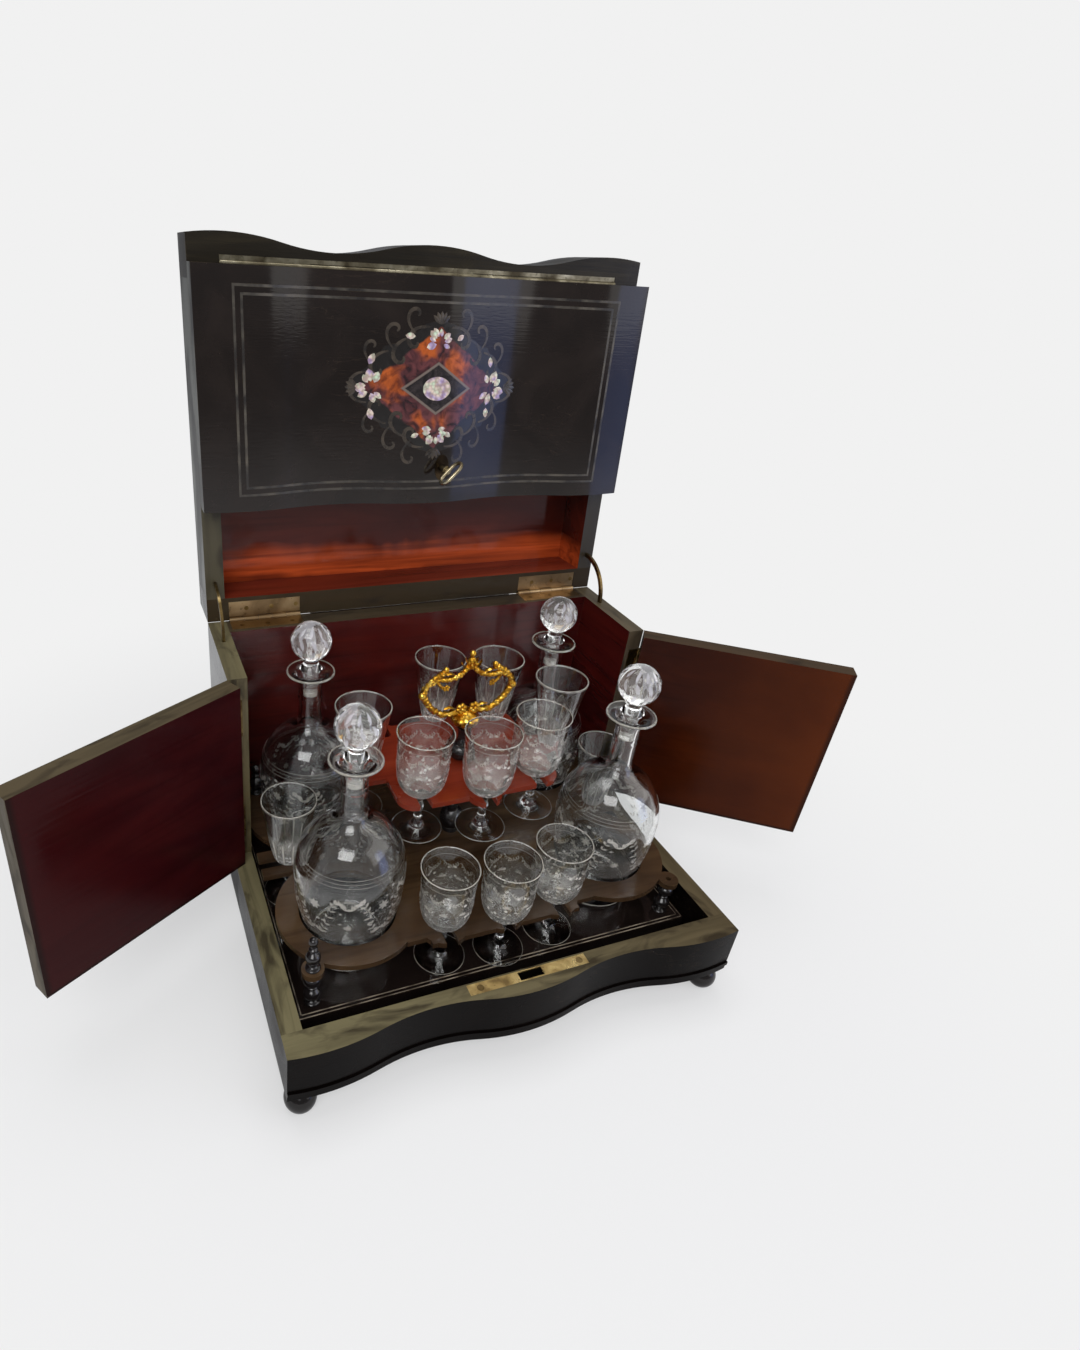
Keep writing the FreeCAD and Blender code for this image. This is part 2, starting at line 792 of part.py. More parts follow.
def foot_relief():
    """A bevel along the panel's lower inner edge, which swings over the stoppers."""
    corner = Vector(-half_w - over, panel_inner_y, panel_foot_z)
    marks = [corner, corner - Y * panel_relief, corner + Z * panel_relief, corner]
    return Part.Face(Part.makePolygon(marks)).extrude(X * 2 * (half_w + over))


def build_panel():
    strings, medal, boss = panel_inlays()
    case, bolt, channel, hole, turning = lock_pieces()
    key_z = panel_foot_z + key_up
    plate_prism = through_face(oval(scutcheon_w, scutcheon_h), key_x, key_z)
    plate = face_skin(scutcheon_out, scutcheon_in, panel_foot_z, panel_top_z).common(plate_prism)
    plate = plate.cut(hole)
    board = wave_prism(0, panel_inner_y, panel_foot_z, panel_top_z)
    for taken in (strings, medal, boss, plate, case, hole):
        board = board.cut(taken)
    medal = medal.cut(plate_prism)
    strings = strings.cut(plate_prism)
    board = board.cut(recesses(panel_hinge, panel_hinge_places, 1))
    board = board.cut(foot_relief())
    pieces = {
        "front_panel": board,
        "panel_stringing": strings,
        "medallion": medal,
        "medallion_oval": boss,
        "panel_hinge_leaves": Part.makeCompound(hinge_set(panel_hinge, panel_hinge_places, 1)),
        "escutcheon": plate,
        "lock_case": case.cut(channel).cut(hole).cut(turning),
        "lock_bolt": bolt,
        "key": make_key()}
    for node, shape in pieces.items():
        save(node, folded_panel(shape))


# Doors, drawn shut and then swung out

def build_door(name, side, degrees):
    x0, x1 = sorted([side * inner_x, side * half_w])
    board = box(x0, x1, door_front_y, door_pivot_y - leaf_gap, rim_z + door_gap, wall_top_z)
    places = door_hinge_places(side)
    board = board.cut(recesses(door_hinge, places, 1))
    leaves = Part.makeCompound(hinge_set(door_hinge, places, 1))
    save("door_" + name, turned_z(board, side * half_w, door_pivot_y, degrees))
    save("door_" + name + "_hinge_leaves",
         turned_z(leaves, side * half_w, door_pivot_y, degrees))


# Rack

decanter_places = [(sx * decanter_x, y) for y in (decanter_front_y, decanter_back_y)
                   for sx in (-1, 1)]
column_places = [(sx * column_x, y) for y in (column_front_y, column_back_y) for sx in (-1, 1)]
finial_places = [p for p in column_places if p != (column_x, column_front_y)]

# Glass places: x, y, and the way out of the notch
lower_places = {
    "front_left": (-front_glass_x, front_glass_y, -Y),
    "front_middle": (0, middle_glass_y, -Y),
    "front_right": (front_glass_x, front_glass_y, -Y),
    "side_left": (-side_glass_x, post_y, -X),
    "side_right": (side_glass_x, post_y, X)}
upper_places = {
    "front_left": (-upper_front_x, upper_front_glass_y, -Y),
    "front_middle": (0, upper_middle_glass_y, -Y),
    "front_right": (upper_front_x, upper_front_glass_y, -Y),
    "side_left": (-upper_side_x, upper_side_glass_y, -X),
    "side_right": (upper_side_x, upper_side_glass_y, X),
    "back_middle": (0, back_middle_glass_y, Y),
    "back_right": (back_glass_x, back_glass_y, Y)}
empty_notch = (-back_glass_x, back_glass_y, Y)


def notch(x, y, way, z0, z1):
    """A slot from the stem's place out past the shelf's edge."""
    reach = foot_glass_r * notch_reach_share
    half = notch_w / 2
    end_x = x + way.x * reach
    end_y = y + way.y * reach
    wide_x = half * abs(way.y)
    wide_y = half * abs(way.x)
    slot = box(min(x, end_x) - wide_x, max(x, end_x) + wide_x,
               min(y, end_y) - wide_y, max(y, end_y) + wide_y, z0, z1)
    return fused([slot, disc(x, y, half, z0, z1)])


def main_shelf():
    z0, z1 = shelf_under, shelf_top
    tongue_half = wave_crest_x * tongue_half_share
    solids = [box(-shoulder_x, shoulder_x, shoulder_y, shelf_back, z0, z1),
              box(-tongue_half, tongue_half, tongue_front_y, 0, z0, z1),
              box(-decanter_x, decanter_x, decanter_front_y, decanter_back_y, z0, z1)]
    solids += [disc(x, y, lobe_r, z0, z1) for x, y in decanter_places]
    solids += [disc(x, y, column_lobe_r, z0, z1) for x, y in column_places]
    for name, (x, y, way) in lower_places.items():
        if "front" in name:
            solids.append(disc(x, front_glass_y, tongue_r, z0, z1))
        else:
            end = way.x * shelf_half_w
            solids.append(box(min(0, end), max(0, end), y - side_tongue_h / 2,
                              y + side_tongue_h / 2, z0, z1))
    shelf = fused(solids)
    shelf = shelf.common(box(-shelf_half_w, shelf_half_w, crest_y, shelf_back, z0, z1))
    for x, y in decanter_places:
        shelf = shelf.cut(disc(x, y, hole_r, z0 - over, z1 + over))
    for x, y in column_places:
        shelf = shelf.cut(disc(x, y, stud_r + stud_slack, z0 - over, z1 + over))
    for x, y, way in lower_places.values():
        shelf = shelf.cut(notch(x, y, way, z0 - over, z1 + over))
    return shelf.cut(disc(0, post_y, post_r + post_slack, z0 - over, z1 + over))


def rounded_board(x0, x1, y0, y1, r, z0, z1):
    solids = [box(x0 + r, x1 - r, y0, y1, z0, z1), box(x0, x1, y0 + r, y1 - r, z0, z1)]
    solids += [disc(x, y, r, z0, z1) for x in (x0 + r, x1 - r) for y in (y0 + r, y1 - r)]
    return solids


def upper_shelf():
    z0, z1 = upper_under, upper_top
    places = list(upper_places.values()) + [empty_notch]
    solids = rounded_board(-upper_body_x, upper_body_x, upper_front_y, upper_back_y,
                           upper_corner_r, z0, z1)
    solids.append(box(-upper_side_x, upper_side_x, upper_side_glass_y - upper_tongue_r,
                      upper_side_glass_y + upper_tongue_r, z0, z1))
    solids += [disc(x, y, upper_tongue_r, z0, z1) for x, y, way in places]
    shelf = fused(solids)
    for x, y in decanter_places:
        shelf = shelf.cut(disc(x, y, upper_clear_r, z0 - over, z1 + over))
    for x, y, way in places:
        shelf = shelf.cut(notch(x, y, way, z0 - over, z1 + over))
    return shelf


def column(x, y):
    """Two turned balls between a foot and a cap, bored for the finial's stud."""
    height = shelf_under - tray_top
    ball_1 = height * low_ball_share
    ball_2 = height * high_ball_share
    reach = height * ball_reach_share
    edges = [
        line(0, 0, column_neck_r, 0),
        line(column_neck_r, 0, column_neck_r, ball_1 - reach),
        arc(column_neck_r, ball_1 - reach, column_ball_r, ball_1, column_neck_r, ball_1 + reach),
        arc(column_neck_r, ball_2 - reach, column_ball_r, ball_2, column_neck_r, ball_2 + reach),
        line(column_neck_r, ball_2 + reach, column_neck_r, height),
        line(column_neck_r, height, 0, height),
        line(0, height, 0, 0)]
    solid = turned_piece(x, y, tray_top, edges)
    return solid.cut(disc(x, y, stud_r + stud_slack, shelf_under - stud_l, shelf_under + over))


def finial(x, y):
    """A turned drop with a ball tip, on a stud that runs down through the shelf."""
    waist = finial_r * finial_waist_share
    seat = finial_r * finial_seat_share
    tip_h = finial_h - finial_tip_r
    body_h = tip_h - math.sqrt(finial_tip_r ** 2 - waist ** 2)
    stud_h = stud_slack - shelf_t - stud_l
    edges = [
        line(0, stud_h, stud_r, stud_h),
        line(stud_r, stud_h, stud_r, 0),
        line(stud_r, 0, seat, 0),
        arc(seat, 0, finial_r, body_h * finial_swell_share, waist, body_h),
        arc(waist, body_h, finial_tip_r, tip_h, 0, finial_h),
        line(0, finial_h, 0, stud_h)]
    return turned_piece(x, y, shelf_top, edges)


def centre_post():
    """Turned post that carries the upper shelf; it passes through the main shelf."""
    height = upper_under - tray_top
    knob = post_ball_r
    neck = post_r * post_neck_share
    waist = post_r * post_waist_share
    head = post_r * post_head_share
    low = shelf_h + knob * post_start_share
    mid = height - knob * post_drop_share
    edges = [
        line(0, 0, post_r, 0),
        line(post_r, 0, post_r, low),
        arc(post_r, low, post_ball_r, low + knob, neck, low + knob * 2),
        line(neck, low + knob * 2, waist, mid),
        arc(waist, mid, post_ball_r, (mid + height) / 2, head, height),
        line(head, height, 0, height),
        line(0, height, 0, 0)]
    return turned_piece(0, post_y, tray_top, edges)


def handle_post():
    neck = post_r * handle_bulge_share
    waist = post_r * handle_waist_share
    head = post_r * post_waist_share
    ball_h = handle_post_h * handle_ball_share
    edges = [
        line(0, 0, post_r, 0),
        arc(post_r, 0, post_ball_r, ball_h * handle_bulge_share, waist, ball_h),
        arc(waist, ball_h, neck, handle_post_h * handle_neck_share, head, handle_post_h),
        line(head, handle_post_h, 0, handle_post_h),
        line(0, handle_post_h, 0, 0)]
    return turned_piece(0, post_y, upper_top, edges)


def gilt_handle():
    """Wreath of branches on a leaf cup: two arms out and up to horned tips, and a crown."""
    cup_foot = cup_r * cup_foot_share
    cup_top = cup_r * cup_top_share
    cup = turned_piece(0, post_y, post_top, [
        line(0, 0, cup_foot, 0),
        arc(cup_foot, 0, cup_r, cup_h * cup_foot_share, cup_top, cup_h),
        line(cup_top, cup_h, 0, cup_h),
        line(0, cup_h, 0, 0)])
    root = post_top + cup_h
    side_z = root + branch_side_h
    crown = Vector(0, post_y, root + crown_h)
    solids = [cup, disc(0, post_y, branch_r * root_share, root - branch_r, root + branch_r)]

    def bend(side, shares, half, z, height):
        return Vector(side * half * shares[0], post_y, z + height * shares[1])

    for s in (-1, 1):
        elbow = Vector(s * branch_half_w, post_y, side_z)
        horn = Vector(s * horn_x, post_y, root + horn_h)
        arm_mid = bend(s, arm_mid_share, branch_half_w, root, branch_side_h)
        horn_mid = bend(s, horn_mid_share, branch_half_w, side_z, branch_side_h)
        fork = bend(s, fork_share, branch_half_w, side_z, branch_side_h)
        crown_mid = bend(s, crown_mid_share, horn_x, root, horn_h)
        solids.append(arc_rod(Vector(0, post_y, root), arm_mid, elbow, branch_r))
        solids.append(arc_rod(elbow, horn_mid, horn, branch_r))
        solids.append(arc_rod(fork, crown_mid, crown, branch_r))
        solids.append(ball(elbow.x, elbow.y, elbow.z, knob_r))
        solids.append(ball(horn.x, horn.y, horn.z, knob_r * horn_knob_share))
        solids.append(ball(s * rosette_x, post_y - branch_r, root + rosette_r * rosette_up_share,
                           rosette_r))
    solids.append(Part.makeCone(knob_r, branch_r * crown_tip_share, crown_tip_h, crown))
    solids.append(ball(crown.x, crown.y, crown.z, knob_r * crown_ball_share))
    return fused(solids)


def build_rack():
    save("tray_board", box(-tray_half_w, tray_half_w, tray_front, tray_back, tray_z, tray_top))
    save("rack_columns", Part.makeCompound([column(*p) for p in column_places]))
    save("rack_finials", Part.makeCompound([finial(*p) for p in finial_places]))
    save("main_shelf", main_shelf())
    save("centre_post", centre_post())
    save("upper_shelf", upper_shelf())
    save("handle_post", handle_post())
    save("gilt_handle", gilt_handle())


# Decanters, stoppers and glasses

def belly(inset, start_h, neck):
    """The side of a decanter from its base to its neck, set in from the outside by inset."""
    foot = decanter_foot_r - inset
    waist = decanter_waist_r - inset
    shoulder = shoulder_r - inset
    sweep = max(sweep_r - inset, neck * sweep_wall_share)
    belly_h, shoulder_h, sweep_h, neck_h = [
        lip_h * share for share in (belly_share, shoulder_share, sweep_share, neck_share)]
    dome_h = shoulder_h + (sweep_h - shoulder_h) * dome_h_share
    dome_r = sweep + (shoulder - sweep) * dome_r_share
    dip_h = sweep_h + (neck_h - sweep_h) * dip_h_share
    dip_r = neck + (sweep - neck) * dip_r_share
    return [
        line(foot, start_h, waist, shelf_h),
        arc(waist, shelf_h, decanter_r - inset, belly_h, shoulder, shoulder_h),
        arc(shoulder, shoulder_h, dome_r, dome_h, sweep, sweep_h),
        arc(sweep, sweep_h, dip_r, dip_h, neck, neck_h)]


def decanter(x, y):
    """A blown bottle: ovoid body, neck with a collar, and a wide flat lip."""
    neck_h = lip_h * neck_share
    collar_h = neck_h + (lip_h - neck_h) * neck_collar_share
    collar = neck_r * neck_bead_share
    throat_h = lip_h - lip_t * throat_share
    rim_h = lip_h - lip_t / 2
    curve_r = lip_r * lip_curve_share[0]
    curve_h = lip_h - lip_t * lip_curve_share[1]
    top_r = lip_r * lip_top_share
    outside = [line(0, 0, decanter_foot_r, 0)] + belly(0, 0, neck_r) + [
        line(neck_r, neck_h, neck_r, collar_h - collar),
        arc(neck_r, collar_h - collar, neck_r + collar, collar_h, neck_r, collar_h + collar),
        line(neck_r, collar_h + collar, neck_r, throat_h),
        arc(neck_r, throat_h, curve_r, curve_h, lip_r, rim_h),
        line(lip_r, rim_h, top_r, lip_h),
        line(top_r, lip_h, 0, lip_h),
        line(0, lip_h, 0, 0)]
    bore = plug_r + plug_gap
    inside = [line(0, decanter_floor, decanter_foot_r - decanter_wall, decanter_floor)]
    inside += belly(decanter_wall, decanter_floor, bore)
    inside += [
        line(bore, neck_h, bore, lip_h + over),
        line(bore, lip_h + over, 0, lip_h + over),
        line(0, lip_h + over, 0, decanter_floor)]
    return turned_piece(x, y, tray_top, outside).cut(turned_piece(x, y, tray_top, inside))


def stopper(x, y):
    """A ball on a collar, with the ground plug that fits the neck."""
    seat = lip_h + plug_gap
    plug_end = plug_r * plug_end_share
    collar_r = plug_r * stopper_collar_share
    ball_foot = stopper_ball_r * ball_foot_share[0]
    low = stopper_ball_h - stopper_ball_r * ball_foot_share[1]
    waist = collar_r * stopper_waist_share
    top = stopper_ball_h + stopper_ball_r
    edges = [
        line(0, seat - plug_l, plug_end, seat - plug_l),
        line(plug_end, seat - plug_l, plug_r, seat),
        line(plug_r, seat, collar_r, seat),
        line(collar_r, seat, waist, low),
        line(waist, low, ball_foot, low),
        arc(ball_foot, low, stopper_ball_r, stopper_ball_h, 0, top),
        line(0, top, 0, seat - plug_l)]
    return turned_piece(x, y, tray_top, edges)


def glass(x, y, shelf_z, tall, rim_r, shares):
    """A stemmed glass hung in a notch; shares are (radius, height) of the bowl's outside."""
    start_r = notch_w / 2 - bowl_gap
    bowl = [(start_r, bowl_gap)] + [(rim_r * r, tall * h) for r, h in shares]
    floor = tall * bowl_floor_share
    lining = [(rim_r * r - glass_wall, max(tall * h, floor)) for r, h in shares]
    lining[-1] = (rim_r * shares[-1][0] - glass_wall, tall)
    foot_top = -glass_drop + foot_glass_t
    cove_h = foot_top + stem_r * cove_high_share
    outside = [
        line(0, -glass_drop, foot_glass_r, -glass_drop),
        line(foot_glass_r, -glass_drop, foot_glass_r, foot_top),
        arc(foot_glass_r, foot_top, stem_r * cove_out_share, foot_top + stem_r * cove_low_share,
            stem_r, cove_h),
        line(stem_r, cove_h, stem_r, 0),
        line(stem_r, 0, start_r, bowl_gap),
        curve(bowl),
        line(bowl[-1][0], tall, 0, tall),
        line(0, tall, 0, -glass_drop)]
    inside = [
        line(0, floor, lining[0][0], floor),
        curve(lining),
        line(lining[-1][0], tall, lining[-1][0], tall + over),
        line(lining[-1][0], tall + over, 0, tall + over),
        line(0, tall + over, 0, floor)]
    return turned_piece(x, y, shelf_z, outside).cut(turned_piece(x, y, shelf_z, inside))


def build_glassware():
    names = ["front_left", "front_right", "back_left", "back_right"]
    for name, place in zip(names, decanter_places):
        save("decanter_" + name, decanter(*place))
        save("stopper_" + name, stopper(*place))
    for level, places, z in (("lower", lower_places, shelf_top), ("upper", upper_places, upper_top)):
        for name, (x, y, way) in places.items():
            if "front" in name:
                shape = glass(x, y, z, tall_a, rim_a_r, round_shares)
            else:
                shape = glass(x, y, z, tall_b, rim_b_r, taper_shares)
            save("glass_" + level + "_" + name, shape)


os.makedirs("parts", exist_ok=True)
build_case()
build_lid()
build_panel()
build_door("left", -1, -left_open_deg)
build_door("right", 1, right_open_deg)
build_rack()
build_glassware()
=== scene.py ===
import json
import math
import random

import bpy
from mathutils import Matrix, Vector


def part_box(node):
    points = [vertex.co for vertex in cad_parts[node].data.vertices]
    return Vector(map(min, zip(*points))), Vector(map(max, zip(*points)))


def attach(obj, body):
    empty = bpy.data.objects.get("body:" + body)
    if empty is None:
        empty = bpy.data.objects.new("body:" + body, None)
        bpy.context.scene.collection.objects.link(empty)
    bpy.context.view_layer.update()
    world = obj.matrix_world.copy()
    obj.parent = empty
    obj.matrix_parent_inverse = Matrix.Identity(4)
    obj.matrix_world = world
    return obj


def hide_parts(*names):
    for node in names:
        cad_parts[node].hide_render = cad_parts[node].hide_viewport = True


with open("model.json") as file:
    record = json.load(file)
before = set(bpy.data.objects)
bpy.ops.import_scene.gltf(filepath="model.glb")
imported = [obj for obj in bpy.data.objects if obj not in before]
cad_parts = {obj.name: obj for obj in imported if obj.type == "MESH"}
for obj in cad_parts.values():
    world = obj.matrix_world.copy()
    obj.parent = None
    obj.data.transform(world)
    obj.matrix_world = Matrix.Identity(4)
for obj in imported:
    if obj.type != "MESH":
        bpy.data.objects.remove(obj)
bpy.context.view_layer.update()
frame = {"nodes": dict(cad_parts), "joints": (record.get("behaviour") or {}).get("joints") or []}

mm = 0.001
nodes = frame["nodes"]
joints = {joint["name"]: joint for joint in frame["joints"]}


# Places read from the frame

def low(node):
    return Vector(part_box(node)[0])


def high(node):
    return Vector(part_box(node)[1])


def middle(node):
    return (low(node) + high(node)) / 2


# Sizes in metres, and turns read from the joints' ranges

half_case_d = 127.9 * mm
rim_z = high("front_rail").z
case_x = middle("back_panel").x
case_y = high("back_panel").y - half_case_d
half_w = high("lid_top").x - case_x
lean = math.radians(-90 - joints["lid_hinge"]["range_deg"][0])
lid_up = Vector((0, math.sin(lean), math.cos(lean)))
lid_front = Vector((0, -math.cos(lean), math.sin(lean)))
panel_pivot = Vector(joints["panel_hinge"]["pos_m"])
left_deg = -joints["left_door_hinge"]["range_deg"][0]
right_deg = -joints["right_door_hinge"]["range_deg"][0]
wave_depth = 8.5 * mm
wave_half = 70.5 * mm
panel_crest = 17.6 * mm
medal_drop = 72.3 * mm

# Camera, fitted to the photograph

camera_from_rim = Vector((-232.27, -408.80, 433.08)) * mm
camera_yaw = 0.39827
camera_pitch = 0.50866
camera_roll = 0.08506
photo_w = 1080
photo_h = 1350
focal_px = 793.66
centre_px = (402.33, 653.14)
sensor_mm = 36


def make_camera():
    data = bpy.data.cameras.new("camera")
    camera = bpy.data.objects.new("camera", data)
    bpy.context.scene.collection.objects.link(camera)
    ahead = Vector((math.sin(camera_yaw) * math.cos(camera_pitch),
                    math.cos(camera_yaw) * math.cos(camera_pitch), -math.sin(camera_pitch)))
    right = Vector((math.cos(camera_yaw), -math.sin(camera_yaw), 0))
    up = right.cross(ahead)
    turned_right = math.cos(camera_roll) * right + math.sin(camera_roll) * up
    turned_up = -math.sin(camera_roll) * right + math.cos(camera_roll) * up
    axes = Matrix((turned_right, turned_up, -ahead)).transposed()
    place = Vector((case_x, case_y, rim_z)) + camera_from_rim
    camera.matrix_world = Matrix.Translation(place) @ axes.to_4x4()
    data.sensor_width = sensor_mm
    data.lens = focal_px * sensor_mm / photo_h
    data.shift_x = (photo_w / 2 - centre_px[0]) / photo_h
    data.shift_y = (centre_px[1] - photo_h / 2) / photo_h
    bpy.context.scene.camera = camera


# Shading helpers

def rgb(red, green, blue):
    """A screen colour, 0 to 255, as the linear one a shader takes."""
    shares = [value / 255 for value in (red, green, blue)]
    return tuple(s / 12.92 if s < 0.04 else ((s + 0.055) / 1.055) ** 2.4 for s in shares)


def scaled(colour, factor):
    return tuple(min(1.0, c * factor) for c in colour)


class Paint:
    """A node material built on one Principled shader. turn is the piece's angle about z."""

    def __init__(self, name, turn=0.0, **settings):
        self.material = bpy.data.materials.new(name)
        self.material.use_nodes = True
        self.tree = self.material.node_tree
        self.shader = self.tree.nodes["Principled BSDF"]
        self.place = self.tree.nodes.new("ShaderNodeTexCoord")
        self.turn = turn
        for key, value in settings.items():
            self.shader.inputs[key.replace("_", " ")].default_value = value

    def add(self, kind, **links):
        node = self.tree.nodes.new(kind)
        for key, value in links.items():
            self.feed(node.inputs[key.replace("_", " ")], value)
        return node

    def feed(self, socket, value):
        if isinstance(value, bpy.types.NodeSocket):
            self.tree.links.new(value, socket)
        else:
            socket.default_value = value

    def spot(self, stretch=(1, 1, 1), seed=0.0):
        """Place on the piece, in its own turned axes, stretched along the grain."""
        node = self.tree.nodes.new("ShaderNodeMapping")
        node.vector_type = "TEXTURE"
        self.feed(node.inputs["Vector"], self.place.outputs["Object"])
        node.inputs["Location"].default_value = (seed, seed, seed)
        node.inputs["Rotation"].default_value = (0, 0, self.turn)
        node.inputs["Scale"].default_value = tuple(1 / s for s in stretch)
        return node.outputs[0]

    def noise(self, scale, detail=4.0, stretch=(1, 1, 1), seed=0.0, bend=0.0):
        return self.add("ShaderNodeTexNoise", Vector=self.spot(stretch, seed), Scale=scale,
                        Detail=detail, Distortion=bend).outputs["Fac"]

    def calc(self, kind, a, b=0.0):
        node = self.tree.nodes.new("ShaderNodeMath")
        node.operation = kind
        self.feed(node.inputs[0], a)
        self.feed(node.inputs[1], b)
        return node.outputs[0]

    def times(self, a, b):
        return self.calc("MULTIPLY", a, b)

    def span(self, value, a, b, c=0.0, d=1.0):
        """Maps a to b onto c to d, and stays at c or d outside."""
        return self.add("ShaderNodeMapRange", Value=value, From_Min=a, From_Max=b, To_Min=c,
                        To_Max=d).outputs[0]

    def ramp(self, value, stops):
        node = self.add("ShaderNodeValToRGB", Fac=value)
        ends = node.color_ramp.elements
        while len(ends) < len(stops):
            ends.new(0.5)
        for end, (at, colour) in zip(ends, stops):
            end.position = at
            end.color = (*colour, 1)
        return node.outputs["Color"]

    def mix(self, amount, a, b):
        node = self.tree.nodes.new("ShaderNodeMix")
        node.data_type = "RGBA"
        self.feed(node.inputs[0], amount)
        for socket, value in ((node.inputs[6], a), (node.inputs[7], b)):
            self.feed(socket, (*value, 1) if isinstance(value, tuple) else value)
        return node.outputs[2]

    def blend(self, amount, a, b):
        node = self.tree.nodes.new("ShaderNodeMix")
        self.feed(node.inputs[0], amount)
        self.feed(node.inputs[2], a)
        self.feed(node.inputs[3], b)
        return node.outputs[0]

    def dot(self, a, b):
        node = self.tree.nodes.new("ShaderNodeVectorMath")
        node.operation = "DOT_PRODUCT"
        self.feed(node.inputs[0], a)
        self.feed(node.inputs[1], b)
        return node.outputs["Value"]

    def along(self, way, start):
        """Distance from start along way, in metres."""
        return self.calc("SUBTRACT", self.dot(self.place.outputs["Object"], way),
                         Vector(way).dot(start))

    def faces(self, way, least=0.7):
        """1 on faces of the piece that point along way."""
        return self.calc("GREATER_THAN", self.dot(self.place.outputs["Normal"], way), least)

    def edges(self, radius):
        """1 along sharp edges, fading over about radius."""
        bevel = self.add("ShaderNodeBevel", Radius=radius)
        bevel.samples = 4
        flat = self.add("ShaderNodeNewGeometry").outputs["Normal"]
        return self.span(self.dot(bevel.outputs[0], flat), 0.99, 0.8)

    def bump(self, height, strength, distance):
        node = self.add("ShaderNodeBump", Height=height, Strength=strength, Distance=distance)
        self.feed(self.shader.inputs["Normal"], node.outputs[0])

    def look(self, look):
        self.feed(self.shader.inputs["Base Color"], look["colour"])
        self.feed(self.shader.inputs["Roughness"], look["rough"])
        self.bump(look["height"], 0.5, 0.3 * mm)
        return self.material

    def join(self, amount, a, b):
        return {"colour": self.mix(amount, a["colour"], b["colour"]),
                "rough": self.blend(amount, a["rough"], b["rough"]),
                "height": self.blend(amount, a["height"], b["height"])}


def grain_stretch(axis, along=0.06):
    return tuple(along if name == axis else 1.0 for name in "xyz")


def wood_look(p, colours, axis, scale=90, rough=(0.18, 0.34), bend=1.2, seed=0.0, pores=0.3,
              along=0.08):
    """Figured wood: broad figure, fine pores along the grain, and slightly uneven polish."""
    figure = p.noise(scale, 5, grain_stretch(axis, along), seed, bend)
    cloud = p.noise(scale * 0.2, 3, grain_stretch(axis, 0.4), seed + 1, 0.6)
    fine = p.noise(scale * 9, 3, grain_stretch(axis, 0.03))
    tone = p.calc("ADD", p.times(figure, 0.5), p.times(cloud, 0.5))
    dark, mid, light = colours
    colour = p.ramp(tone, [(0.3, dark), (0.5, mid), (0.7, light)])
    pore = p.span(fine, 0.33, 0.45, pores, 0.0)
    colour = p.mix(pore, colour, scaled(dark, 0.4))
    polish = p.noise(26, 3)
    return {"colour": colour, "rough": p.span(polish, 0.3, 0.7, *rough),
            "height": p.span(fine, 0.3, 0.6, 0.0, 0.25)}


def ebony_look(p, axis="x", tint=rgb(17, 12, 10), rough=(0.12, 0.26)):
    """Black-stained wood under old polish, with faint grain, haze and hair cracks."""
    fine = p.noise(800, 2, grain_stretch(axis, 0.03))
    haze = p.noise(24, 4, bend=0.8)
    crack = p.noise(60, 5, grain_stretch(axis, 0.12), 0.3, 2.0)
    hair = p.span(p.calc("ABSOLUTE", p.calc("SUBTRACT", crack, 0.5)), 0.0, 0.005, 1.0, 0.0)
    rare = p.span(p.noise(9, 2), 0.56, 0.62)
    colour = p.mix(p.span(haze, 0.4, 0.75), tint, scaled(tint, 1.7))
    colour = p.mix(p.times(hair, p.times(rare, 0.4)), colour,
                   rgb(66, 54, 44))
    return {"colour": colour, "rough": p.span(haze, 0.3, 0.75, *rough),
            "height": p.span(fine, 0.3, 0.62, 0.0, 0.08)}


def bare_look(p, axis, left, right):
    """Worn edge wood, olive at the left and browner to the right, with dark stains."""
    across = p.span(p.along((1, 0, 0), Vector((case_x, 0, 0))), -half_w, half_w)
    tint = p.mix(across, left, right)
    grain = p.noise(160, 5, grain_stretch(axis, 0.06), 0.2, 0.5)
    stain = p.noise(60, 5, grain_stretch(axis, 0.35), 0.5, 1.0)
    colour = p.mix(p.span(grain, 0.35, 0.6, 0.5, 0.0), tint, rgb(48, 42, 30))
    colour = p.mix(p.span(stain, 0.52, 0.66, 0.0, 0.75), colour, rgb(38, 31, 24))
    return {"colour": colour, "rough": p.span(stain, 0.3, 0.7, 0.3, 0.5),
            "height": p.span(grain, 0.3, 0.7, 0.0, 0.5)}


olive = rgb(110, 103, 76)
tan = rgb(88, 77, 57)
burgundy = (rgb(34, 9, 10), rgb(60, 15, 14), rgb(80, 22, 17))
plum = (rgb(24, 6, 8), rgb(43, 10, 13), rgb(60, 17, 17))
mahogany = (rgb(42, 13, 9), rgb(70, 21, 13), rgb(98, 34, 20))
cherry = (rgb(28, 8, 3), rgb(46, 14, 4), rgb(66, 24, 6))
inside_dark = (rgb(14, 10, 9), rgb(24, 17, 14), rgb(34, 24, 18))
worn = rgb(70, 60, 42)


def dress(node, material):
    """Gives a CAD node its material in every slot."""
    shape = nodes[node]
    if not shape.material_slots:
        shape.data.materials.append(material)
    for slot in shape.material_slots:
        slot.link = "OBJECT"
        slot.material = material


def wooden(name, base, parts=(), gloss=0.5, edge=0.0, turn=0.0):
    """A wood finish: base look, other looks on faces that point some way, worn edges."""
    p = Paint(name, turn, Specular_IOR_Level=gloss)
    look = base(p)
    for way, part in parts:
        look = p.join(p.faces(way), look, part(p))
    if edge:
        rub = p.times(p.edges(edge), p.span(p.noise(75, 4), 0.5, 0.62, 0.0, 0.8))
        look["colour"] = p.mix(rub, look["colour"], worn)
    return p.look(look)


